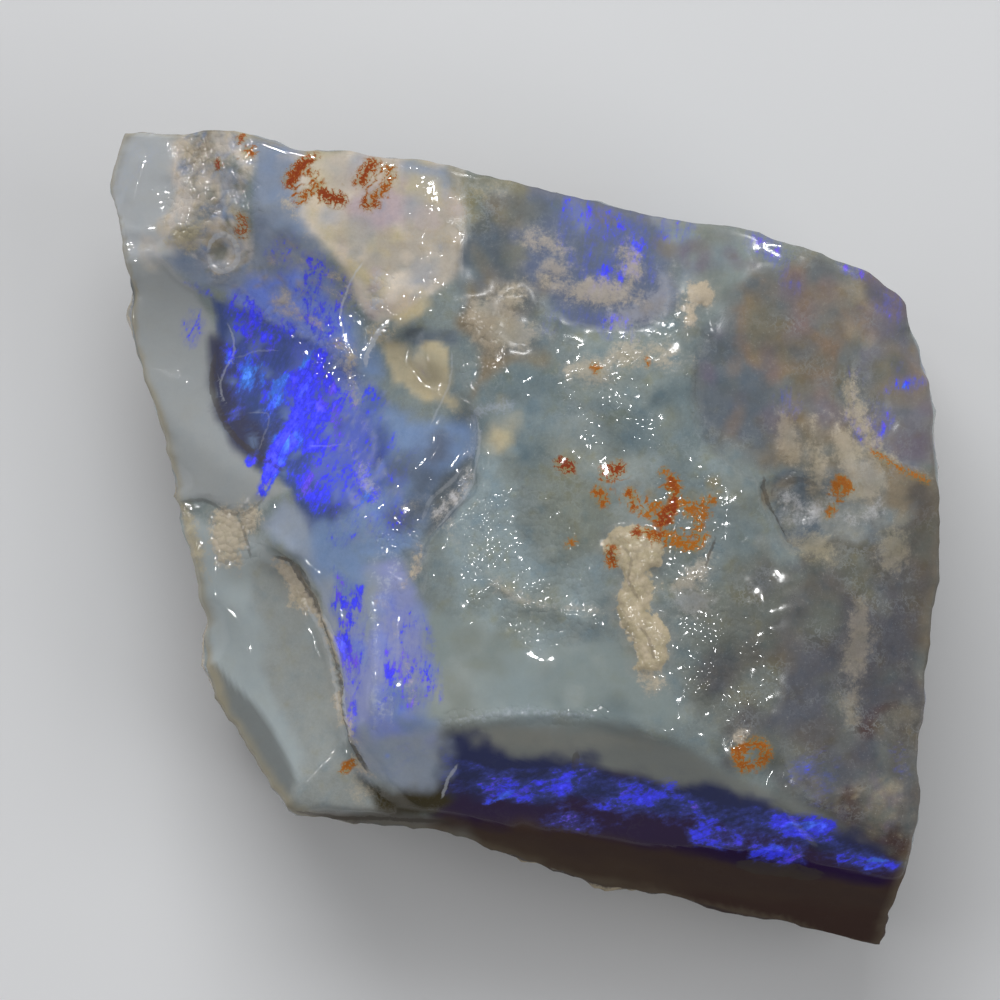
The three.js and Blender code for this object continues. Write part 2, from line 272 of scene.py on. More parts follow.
# Colour patches, from the first laid down to the last: name, colour, grain of the surface from 0 to 1,
# dullness from 0 to 1, blur and wobble of the border in mm, and shape.
PATCHES = [
    ("middle", "centre", 0.6, 0.3, 1.5, 1.0, area((440, 320), (700, 310), (730, 740), (430, 740))),
    ("middle blue left", "blue_grey", 0.5, 0.25, 1.6, 1.0,
     area((470, 370), (560, 360), (580, 440), (540, 470), (490, 460))),
    ("middle blue right", "blue_grey", 0.5, 0.25, 1.6, 1.0,
     area((600, 385), (692, 380), (695, 430), (640, 470), (600, 440))),
    ("middle khaki", "centre_khaki", 0.6, 0.3, 2.2, 1.2,
     area((545, 430), (600, 430), (610, 520), (560, 590), (520, 540))),
    ("middle green", "grey_green", 0.6, 0.35, 1.4, 1.2,
     area((440, 500), (500, 520), (600, 590), (600, 640), (470, 630))),
    ("middle dark", "grey_dark", 0.6, 0.35, 1.2, 1.0, area((655, 560), (700, 560), (700, 660), (660, 640))),
    ("lower right middle", "blue_green", 0.6, 0.3, 1.6, 1.2,
     area((680, 560), (790, 560), (800, 740), (700, 740))),
    ("upper scoop potch", "potch", 0.02, 0.1, 0.5, 0.15,
     area((90, 245), (165, 256), (195, 290), (218, 330), (212, 380), (222, 425), (255, 470), (290, 490),
          (262, 502), (240, 512), (205, 500), (170, 500), (90, 540))),
    ("lower scoop potch", "potch_cool", 0.02, 0.1, 0.5, 0.15,
     area((150, 505), (262, 540), (300, 590), (325, 640), (338, 700), (345, 770), (360, 820), (150, 860))),
    ("lower scoop dusty side", "potch_dusty", 0.3, 0.4, 0.9, 0.6,
     area((258, 560), (300, 590), (325, 650), (335, 720), (350, 780), (325, 800), (300, 780), (282, 720),
          (262, 640), (250, 590))),
    # The bevel's darker grey is painted shade, where the facet turns away from the light.
    ("lower scoop bevel", "bevel", 0.02, 0.05, 0.4, 0.1,
     area((185, 650), (215, 668), (242, 692), (264, 718), (284, 752), (304, 795), (290, 825), (180, 740))),
    ("corner glass", "glass", 0.05, 0.05, 0.4, 0.25,
     area((90, 120), (190, 118), (186, 155), (178, 190), (174, 220), (178, 256), (90, 256))),
    ("corner crumbs", "matrix", 0.8, 0.4, 1.1, 1.3,
     area((186, 116), (245, 128), (258, 160), (246, 215), (255, 262), (215, 275), (190, 264), (172, 246),
          (166, 218), (173, 190), (180, 160))),
    ("corner lilac", "haze", 0.8, 0.3, 0.6, 0.8, spot(188, 250, 1.2, 0.8, -30)),
    ("pit", "pit", 0.3, 0.1, 0.2, 0.15, spot(220, 251, 0.5, 0.6, -10)),
    ("olive lump", "khaki", 0.8, 0.4, 0.3, 0.4, spot(187, 231, 0.7, 0.4, 5)),
    ("haze", "haze", 0.25, 0.1, 0.7, 0.6,
     area((243, 130), (300, 140), (305, 200), (345, 290), (350, 350), (310, 335), (262, 312), (235, 295),
          (195, 285), (165, 258), (215, 272), (252, 262), (248, 200), (258, 170))),
    ("haze blue", "mid_blue", 0.3, 0.1, 1.2, 0.9,
     area((290, 255), (325, 262), (345, 290), (352, 350), (310, 335), (262, 315), (220, 298), (250, 285))),
    ("cream field", "cream", 0.3, 0.15, 0.5, 0.8,
     area((272, 150), (320, 145), (400, 155), (465, 170), (472, 210), (462, 270), (440, 300), (405, 318),
          (372, 322), (350, 290), (335, 262), (308, 230), (285, 195))),
    ("pink cast", "pink_clay", 0.3, 0.15, 1.2, 0.9, spot(395, 200, 2.2, 1.1, -20)),
    ("grey cast", "cream_grey", 0.35, 0.15, 1.0, 1.0, spot(436, 235, 1.4, 1.9)),
    ("cream tan left", "tan_light", 0.35, 0.15, 0.7, 0.8, spot(333, 233, 1.0, 0.7, -40)),
    ("cream tan right", "tan_light", 0.35, 0.15, 0.7, 0.8, spot(389, 237, 0.9, 0.7)),
    ("cream tan top", "tan_light", 0.35, 0.15, 0.6, 0.7, spot(411, 173, 0.8, 0.55)),
    ("cream tan corner", "tan_light", 0.35, 0.15, 0.6, 0.7, spot(284, 163, 0.6, 0.5)),
    ("cream tan low", "tan_light", 0.35, 0.15, 0.6, 0.7, spot(403, 307, 0.9, 0.6)),
    ("cream tan edge", "tan_light", 0.35, 0.15, 0.6, 0.8, spot(352, 270, 1.0, 0.7, -30)),
    ("cream lilac", "pink_clay", 0.35, 0.15, 0.7, 0.8, spot(372, 216, 1.2, 0.5, -10)),
    ("cream grey band", "cream_grey", 0.3, 0.15, 0.8, 0.8, streak(0.6, (366, 264), (395, 260), (420, 252))),
    ("cream blue top", "glass_dull", 0.3, 0.1, 0.7, 0.8, spot(434, 174, 0.9, 0.5, -15)),
    ("cream blue top left", "glass_dull", 0.3, 0.1, 0.5, 0.5, spot(398, 162, 0.6, 0.3)),
    ("fire ground", "fire_ground", 0.1, 0.05, 0.35, 0.25,
     area((205, 292), (262, 318), (300, 335), (335, 358), (368, 380), (392, 410), (402, 450), (398, 500),
          (380, 530), (358, 560), (330, 585), (312, 560), (300, 520), (292, 487), (262, 470), (235, 448),
          (219, 420), (212, 385), (216, 345), (212, 315))),
    ("fire milk", "fire_milk", 0.15, 0.1, 1.6, 1.0,
     area((300, 350), (350, 385), (375, 430), (368, 485), (340, 500), (318, 480), (305, 440), (285, 390))),
    ("right of the fire", "slate_blue", 0.3, 0.15, 1.5, 0.9,
     area((345, 318), (372, 330), (385, 345), (392, 385), (420, 410), (468, 425), (468, 462), (440, 505),
          (415, 545), (395, 560), (372, 560), (374, 520), (384, 480), (376, 430), (352, 388), (338, 362))),
    ("notch", "slate", 0.5, 0.3, 0.6, 0.6,
     area((430, 490), (466, 460), (474, 478), (440, 530), (415, 545))),
    ("lavender strip", "lavender", 0.15, 0.1, 0.8, 0.6,
     area((350, 565), (395, 562), (420, 590), (445, 600), (440, 660), (440, 720), (445, 745), (430, 770),
          (395, 780), (365, 765), (350, 745), (345, 690), (335, 640), (328, 605))),
    ("strip grey top", "glass_dull", 0.15, 0.1, 0.7, 0.4,
     area((258, 525), (285, 500), (310, 520), (338, 560), (350, 600), (345, 650), (325, 610), (300, 565),
          (275, 545))),
    ("strip grey", "glass_dull", 0.2, 0.15, 0.8, 0.6,
     area((352, 575), (372, 560), (378, 620), (366, 640), (352, 610))),
    ("dark blue bit", "deep_blue", 0.15, 0.1, 0.4, 0.4,
     area((390, 690), (432, 688), (434, 730), (405, 735), (390, 720))),
    ("pale middle", "pale_centre", 0.1, 0.08, 0.9, 0.6,
     area((430, 610), (460, 622), (540, 640), (620, 632), (665, 655), (682, 715), (620, 724), (540, 718),
          (470, 724), (436, 734))),
    ("pale middle milk", "centre_milk", 0.05, 0.05, 1.6, 1.0, spot(500, 685, 2.8, 1.4, 10)),
    ("tan patch", "tan_light", 0.35, 0.2, 0.5, 0.9,
     area((383, 348), (398, 340), (410, 352), (446, 350), (452, 392), (466, 400), (464, 420), (446, 410),
          (425, 396), (398, 380))),
    ("slate notch", "hollow", 0.3, 0.15, 0.3, 0.5,
     area((390, 330), (410, 322), (464, 322), (462, 348), (446, 350), (410, 350))),
    ("tan spot", "tan_light", 0.35, 0.2, 0.8, 0.9, spot(506, 440, 0.9, 1.4)),
    ("tan spot link", "tan_dark", 0.4, 0.35, 0.8, 0.8, streak(0.7, (470, 400), (500, 330), (480, 320))),
    ("upper dark", "slate", 0.5, 0.95, 1.0, 1.0,
     area((472, 190), (540, 205), (540, 300), (500, 330), (466, 300), (462, 240))),
    ("upper khaki", "khaki", 0.6, 0.95, 0.7, 0.9,
     area((455, 170), (505, 178), (505, 215), (470, 245), (452, 220))),
    ("top edge khaki", "khaki", 0.6, 0.95, 0.8, 0.8, streak(0.7, (480, 178), (540, 190), (580, 200))),
    ("upper crumbs", "tan_dark", 0.8, 0.6, 0.9, 1.0,
     area((470, 280), (520, 290), (560, 330), (540, 360), (480, 350), (462, 310))),
    ("top blue", "top_blue", 0.3, 0.93, 1.0, 0.9,
     area((532, 180), (664, 205), (672, 290), (650, 325), (600, 330), (550, 305), (522, 260))),
    ("top blue edge", "haze", 0.3, 0.95, 0.8, 0.8, area((650, 205), (740, 225), (720, 262), (668, 250))),
    ("top grey", "pale_centre", 0.35, 0.95, 1.2, 0.9,
     area((664, 200), (762, 235), (752, 300), (700, 320), (672, 290))),
    ("band flank", "pale_centre", 0.6, 0.4, 0.9, 0.9,
     area((580, 330), (680, 325), (690, 350), (640, 392), (580, 390))),
    ("right dark", "right_dark", 0.5, 0.93, 1.4, 1.0,
     area((765, 262), (820, 250), (905, 300), (930, 410), (850, 470), (765, 475), (712, 445), (698, 350),
          (722, 312))),
    ("right blue", "right_blue", 0.45, 0.93, 1.2, 0.8, spot(730, 395, 1.5, 2.4)),
    ("right brown upper", "right_brown", 0.6, 0.95, 1.2, 1.2,
     area((745, 285), (800, 275), (815, 350), (775, 375), (745, 340))),
    ("right brown", "right_brown", 0.6, 0.95, 1.0, 1.2,
     area((800, 335), (845, 340), (842, 395), (815, 420), (790, 380))),
    ("right tan clouds", "tan", 0.6, 0.93, 0.9, 1.0, spot(862, 300, 1.3, 1.6, 60)),
    ("right tan low", "tan_dark", 0.6, 0.93, 0.9, 1.0, spot(772, 325, 0.9, 1.9, 20)),
    ("right edge violet", "lilac", 0.45, 0.85, 1.1, 0.8,
     area((862, 262), (905, 288), (925, 345), (900, 356), (886, 320))),
    ("lilac facet", "lilac_blue", 0.4, 0.6, 0.45, 0.4,
     area((856, 345), (925, 340), (945, 470), (900, 462), (875, 440), (856, 400))),
    ("facet tan", "tan_dark", 0.3, 0.6, 0.9, 1.0, spot(880, 365, 1.4, 0.7, -20)),
    ("vein ground", "tan_dark", 0.6, 0.8, 1.0, 1.0,
     area((775, 405), (850, 405), (872, 455), (935, 480), (930, 500), (850, 520), (800, 470), (770, 455))),
    ("hollow", "hollow", 0.5, 0.5, 0.6, 0.6,
     area((766, 476), (790, 462), (832, 482), (835, 520), (800, 545), (785, 525))),
    ("hollow right", "milk_grey", 0.7, 0.9, 0.8, 1.0,
     area((820, 500), (880, 480), (900, 530), (850, 580), (800, 560))),
    ("right side grey", "right_grey", 0.6, 0.9, 1.2, 1.2,
     area((800, 540), (870, 520), (960, 480), (940, 700), (925, 880), (820, 840), (790, 700))),
    ("right side streak", "right_blue_low", 0.5, 0.9, 1.2, 0.9,
     area((790, 640), (840, 640), (850, 800), (800, 820), (775, 760))),
    # Grey darkened by painted shadow at the lower right.
    ("right side dark", "right_deep_painted_shadow", 0.6, 0.9, 1.2, 0.9,
     area((845, 590), (900, 590), (960, 640), (930, 860), (850, 830), (835, 720))),
    ("right side warm", "right_warm", 0.4, 0.9, 1.0, 0.8,
     area((896, 470), (960, 470), (940, 690), (905, 640))),
    # Both cream patches here are darkened by painted shadow.
    ("corner cream", "cream_painted_shadow", 0.8, 0.6, 0.9, 1.0,
     area((830, 785), (870, 770), (915, 800), (915, 850), (850, 840))),
    ("edge cream", "cream_painted_shadow", 0.7, 0.5, 0.8, 0.8, spot(900, 722, 1.5, 1.3)),
    ("below the crest", "under_crest", 0.03, 0.05, 0.7, 0.25,
     area((436, 732), (470, 722), (540, 716), (620, 722), (690, 752), (740, 778), (800, 800), (880, 850),
          (900, 880), (770, 830), (600, 800), (440, 780))),
    ("crest shoulder", "milk_brown", 0.03, 0.05, 0.9, 0.3,
     area((470, 728), (600, 722), (650, 745), (560, 752), (480, 748))),
    ("dark slope", "dark_slope", 0.05, 0.05, 0.6, 0.4,
     area((436, 752), (470, 762), (540, 768), (600, 772), (700, 792), (760, 806), (830, 822), (920, 868),
          (900, 905), (440, 838), (430, 800))),
    ("olive tip", "olive", 0.3, 0.2, 0.6, 0.5,
     area((358, 778), (395, 785), (440, 780), (455, 800), (440, 822), (370, 822))),
    ("tip dust", "potch_dusty", 0.45, 0.4, 0.8, 0.6,
     area((300, 765), (352, 768), (375, 800), (370, 825), (300, 825), (285, 800))),
    # The front foot's dark browns are painted shade and a painted dark reflection.
    ("front foot", "front_foot_painted_shade", 0.03, 1.0, 0.5, 0.2,
     area((284, 815), (370, 815), (458, 822), (584, 842), (700, 860), (830, 884), (930, 890), (930, 990),
          (284, 900))),
    ("front foot grey", "foot_grey", 0.03, 0.9, 1.2, 0.3,
     area((284, 814), (400, 814), (470, 826), (480, 860), (284, 850))),
    ("front foot bevel", "foot_warm_painted_shade", 0.03, 0.9, 1.0, 0.3,
     area((640, 890), (880, 905), (900, 870), (940, 870), (900, 980), (640, 930))),
    ("middle milk left", "grey_green", 0.6, 0.3, 1.6, 1.2, spot(505, 500, 1.5, 1.6)),
    ("front haze", "front_haze", 0.05, 0.05, 1.0, 0.9,
     area((430, 742), (470, 748), (540, 756), (600, 768), (700, 788), (790, 815), (870, 850), (890, 866),
          (860, 862), (760, 828), (640, 806), (520, 792), (430, 784))),
    ("front slope foot", "slope_brown_painted_shade", 0.03, 1.0, 1.0, 0.4,
     area((440, 812), (520, 818), (600, 834), (700, 856), (760, 872), (880, 890), (920, 900), (900, 915),
          (700, 880), (560, 850), (440, 830))),
    ("strip foot grey", "glass_dull", 0.15, 0.1, 1.2, 0.9,
     area((366, 728), (400, 736), (440, 722), (446, 760), (430, 785), (395, 785), (368, 768))),
    ("tail milk", "slate_blue", 0.3, 0.15, 1.4, 1.0,
     area((322, 522), (368, 500), (388, 520), (372, 560), (345, 592), (325, 570))),
    ("fire shade", "fire_shade", 0.1, 0.05, 0.7, 0.4,
     area((212, 340), (226, 345), (232, 380), (246, 410), (268, 440), (262, 470), (235, 448), (217, 420),
          (210, 385))),
]

# Small clouds laid at random: name, number, smallest and largest half width in mm, strength, colours and
# the part of the face.
CLOUDS = [
    ("matrix", 60, 0.15, 0.6, 0.6, ("cream", "tan_dark", "haze", "glass_dull", "milk_grey", "tan_light"),
     area((178, 112), (262, 120), (262, 165), (252, 215), (258, 268), (215, 282), (188, 268), (172, 215))),
    ("cream", 60, 0.25, 0.9, 0.5, ("tan_light", "pink_clay", "cream_grey", "cream", "glass_dull"),
     area((272, 140), (400, 145), (470, 165), (478, 215), (462, 275), (440, 305), (405, 322), (372, 326),
          (350, 290), (335, 262), (308, 230), (280, 190))),
    ("haze", 30, 0.3, 1.0, 0.4, ("haze", "slate_blue", "slate", "glass_dull"),
     area((243, 130), (300, 140), (305, 200), (345, 290), (310, 315), (235, 290), (180, 280), (252, 262))),
    ("top", 50, 0.3, 1.1, 0.5, ("khaki", "slate", "slate", "tan_dark", "blue_grey"),
     area((460, 160), (570, 190), (560, 300), (590, 330), (560, 370), (470, 370), (455, 300))),
    ("top blue", 30, 0.25, 0.8, 0.4, ("haze", "top_blue", "tan_dark", "slate"),
     area((560, 190), (760, 230), (745, 280), (670, 330), (590, 335), (550, 300))),
    ("plateau", 90, 0.4, 1.6, 0.45,
     ("blue_grey", "grey_green", "centre_khaki", "pale_centre", "centre_milk"),
     area((470, 380), (560, 360), (690, 370), (715, 450), (770, 500), (740, 620), (690, 740), (440, 740),
          (440, 580), (480, 460))),
    ("right", 90, 0.3, 1.2, 0.5, ("tan_dark", "right_brown", "right_blue", "slate", "khaki_dark", "lilac"),
     area((740, 270), (820, 240), (910, 290), (945, 380), (945, 480), (860, 500), (780, 470), (700, 440),
          (690, 330))),
    ("right web", 40, 0.2, 0.7, 0.5, ("tan_dark", "milk_grey", "slate", "tan"),
     area((765, 400), (860, 400), (900, 470), (930, 500), (880, 600), (780, 600), (740, 520))),
    ("lower right", 90, 0.3, 1.3, 0.5,
     ("right_deep_painted_shadow", "right_blue_low", "right_warm", "khaki_dark", "blue_green"),
     area((760, 560), (950, 500), (940, 700), (920, 860), (820, 830), (700, 770), (690, 640))),
    ("slope", 24, 0.4, 1.2, 0.4, ("right_blue_low", "slate_blue", "slate"),
     area((385, 410), (468, 425), (468, 465), (440, 510), (395, 560), (380, 540))),
    ("rust stain", 34, 0.1, 0.35, 0.4, ("rust_dust", "khaki", "tan_dark"),
     area((640, 470), (720, 478), (728, 550), (665, 560), (600, 512), (590, 482))),
    ("top right", 30, 0.3, 1.0, 0.45, ("pale_centre", "haze", "khaki", "milk_grey", "lilac"),
     area((664, 205), (790, 238), (770, 280), (720, 310), (680, 300))),
    ("matrix fine", 110, 0.08, 0.3, 0.7, ("haze", "tan", "glass_dull", "cream", "slate_blue", "khaki"),
     area((176, 116), (262, 120), (262, 165), (252, 215), (258, 268), (215, 282), (188, 268), (170, 215))),
    ("fire ground", 80, 0.12, 0.5, 0.5, ("deep_blue", "slate_blue", "fire_ground", "fire_shade"),
     area((215, 300), (262, 322), (335, 360), (392, 410), (400, 500), (335, 580), (300, 520), (235, 445),
          (215, 385))),
    ("fire dust", 80, 0.08, 0.3, 0.45, ("lavender", "glass_dull", "haze", "mid_blue"),
     area((320, 350), (360, 360), (400, 400), (405, 500), (370, 560), (335, 540), (330, 450))),
    ("haze dust", 60, 0.06, 0.24, 0.5, ("tan", "glass_dull", "milk_grey", "lavender"),
     area((262, 240), (300, 205), (330, 260), (350, 330), (310, 330), (262, 310), (225, 290))),
    ("strip", 50, 0.15, 0.6, 0.4, ("glass_dull", "slate_blue", "lavender", "haze", "mid_blue"),
     area((340, 570), (440, 600), (440, 740), (430, 775), (370, 765), (350, 700))),
    ("corner cream", 60, 0.08, 0.35, 0.4, ("tan", "tan_dark", "lilac", "right_deep_painted_shadow"),
     area((832, 790), (880, 765), (915, 790), (912, 850), (870, 845), (835, 822))),
]

# Fire: name, strength and hue from 0 to 1 (violet, electric blue, cyan), blur and wobble of the border
# in mm, and shape.
FIRES = [
    ("scoop floor", 0.56, 0.5, 0.9, 0.5,
     area((228, 330), (262, 325), (300, 342), (335, 362), (366, 390), (385, 420), (386, 475), (365, 500),
          (342, 515), (320, 520), (302, 500), (285, 470), (270, 450), (272, 415), (245, 405), (225, 395),
          (218, 375))),
    ("scoop heart", 0.95, 0.5, 1.2, 0.8,
     area((275, 355), (322, 365), (350, 395), (352, 440), (318, 470), (292, 450), (285, 400))),
    ("scoop peak", 1.1, 0.42, 0.7, 0.5, spot(321, 404, 0.6, 0.8)),
    ("scoop peak upper", 1.0, 0.45, 0.8, 0.6, spot(312, 368, 0.8, 1.2, -20)),
    ("bundle", 1.1, 0.52, 0.3, 0.2, streak(0.45, (264, 490), (272, 466), (285, 438), (296, 412))),
    ("bundle right", 1.0, 0.5, 0.3, 0.2, streak(0.4, (298, 500), (312, 476), (328, 448))),
    ("bundle low", 0.85, 0.5, 0.5, 0.4, area((283, 470), (325, 464), (345, 482), (332, 512), (302, 500))),
    ("scoop upper", 0.8, 0.5, 0.7, 0.5, area((222, 300), (250, 305), (290, 330), (270, 350), (228, 335))),
    ("cyan left", 0.75, 0.85, 1.0, 0.6, spot(262, 368, 1.8, 0.9, 61)),
    ("cyan heart", 0.85, 0.85, 0.8, 0.5, spot(293, 382, 1.9, 0.8, 50)),
    ("cyan low", 0.5, 0.95, 0.9, 0.5, spot(275, 420, 0.9, 1.6, 20)),
    ("scoop tail", 0.4, 0.5, 0.9, 0.6, area((300, 480), (352, 470), (372, 520), (340, 560), (318, 530))),
    ("flash across the rim", 0.95, 0.65, 0.2, 0.1, streak(0.42, (258, 500), (272, 470), (290, 445))),
    ("flash by the rim", 0.9, 0.55, 0.2, 0.1, streak(0.3, (228, 420), (242, 408))),
    ("flash by the rim low", 0.9, 0.55, 0.2, 0.1, streak(0.25, (245, 465), (258, 452))),
    ("small flashes in the potch", 0.45, 0.4, 0.5, 0.3, spot(193, 326, 0.5, 0.7)),
    ("upper flashes", 0.7, 0.5, 0.6, 0.5, spot(235, 310, 1.0, 0.8)),
    ("rim flashes", 0.6, 0.5, 0.4, 0.3, streak(0.35, (180, 280), (215, 298))),
    ("haze fire", 0.62, 0.48, 1.2, 0.9,
     area((275, 292), (295, 268), (335, 268), (352, 300), (350, 350), (310, 335))),
    ("haze faint fire", 0.3, 0.4, 1.4, 0.9,
     area((270, 245), (310, 240), (345, 285), (300, 300), (250, 290))),
    ("haze streak", 0.55, 0.5, 0.6, 0.5, streak(0.8, (296, 250), (330, 275), (340, 330))),
    ("right of the heart", 0.42, 0.46, 1.3, 0.8,
     area((350, 370), (390, 410), (405, 450), (396, 500), (368, 520), (360, 450))),
    ("tail right", 0.38, 0.4, 1.0, 0.8, spot(385, 520, 1.2, 1.6)),
    ("strip streaks", 0.68, 0.3, 0.5, 0.4,
     area((332, 570), (362, 590), (368, 640), (362, 720), (352, 745), (344, 700), (336, 640))),
    ("strip left line", 0.8, 0.4, 0.3, 0.25, streak(0.4, (335, 590), (345, 650), (350, 700), (352, 740))),
    ("strip soft", 0.5, 0.3, 0.9, 0.7, area((380, 600), (440, 600), (436, 700), (385, 700))),
    ("strip middle", 0.55, 0.3, 0.7, 0.6, area((380, 650), (425, 650), (420, 700), (380, 720))),
    ("strip foot", 0.12, 0.4, 0.8, 0.6,
     area((352, 745), (390, 735), (440, 740), (440, 780), (390, 775), (365, 765))),
    ("top blue", 0.4, 0.45, 1.2, 0.9,
     area((562, 204), (620, 205), (660, 230), (655, 290), (600, 300), (568, 280), (556, 240))),
    ("top blue heart", 0.72, 0.48, 1.0, 0.8,
     area((575, 208), (640, 215), (650, 262), (600, 282), (580, 250))),
    ("top blue right", 0.5, 0.42, 0.9, 0.7, spot(680, 232, 1.5, 0.7)),
    ("top blue low", 0.42, 0.5, 1.0, 0.9, spot(600, 318, 2.4, 0.7)),
    ("right violet upper", 0.6, 0.05, 0.7, 0.6, spot(762, 243, 1.2, 0.5, -30)),
    ("right violet", 0.5, 0.05, 0.8, 0.6, spot(785, 262, 1.2, 0.6, -60)),
    ("right violet rim", 0.75, 0.1, 0.5, 0.3, spot(850, 268, 0.9, 0.35, -20)),
    ("right violet side", 0.34, 0.0, 0.9, 0.7, spot(895, 312, 0.6, 1.8)),
    ("right glint", 0.62, 0.5, 0.6, 0.4, spot(920, 382, 0.6, 0.3)),
    ("facet violet", 0.4, 0.3, 0.9, 0.7, spot(868, 410, 1.0, 1.8, 30)),
    ("middle violet", 0.42, 0.02, 0.8, 0.6, spot(785, 405, 0.8, 1.1, 20)),
    ("edge violet", 0.45, 0.1, 0.8, 0.6, spot(900, 755, 0.7, 0.9)),
    ("low right blue", 0.3, 0.5, 1.4, 0.9, spot(820, 780, 1.4, 1.6)),
    ("front band", 0.4, 0.42, 0.5, 0.5,
     area((440, 748), (490, 768), (545, 772), (562, 768), (578, 750), (592, 772), (610, 780), (712, 795),
          (800, 815), (905, 865), (900, 878), (800, 862), (700, 840), (600, 812), (520, 800), (440, 800))),
    ("front upper flashes", 0.78, 0.48, 0.7, 0.6, area((620, 782), (712, 795), (705, 818), (625, 806))),
    ("front left flashes", 0.66, 0.45, 0.7, 0.6, area((486, 772), (566, 776), (560, 803), (490, 800))),
    ("front faint violet", 0.4, 0.2, 0.8, 0.6, area((520, 815), (627, 818), (627, 832), (560, 830))),
    ("front flash", 0.85, 0.48, 0.5, 0.5, area((684, 824), (742, 828), (745, 852), (690, 850))),
    ("front right flash", 0.8, 0.5, 0.6, 0.5, area((770, 808), (830, 826), (838, 844), (770, 838))),
    ("front low flash", 0.82, 0.48, 0.5, 0.4, area((748, 846), (808, 850), (806, 868), (752, 862))),
    ("front corner flash", 0.8, 0.6, 0.5, 0.4, area((845, 848), (912, 862), (908, 876), (850, 868))),
]

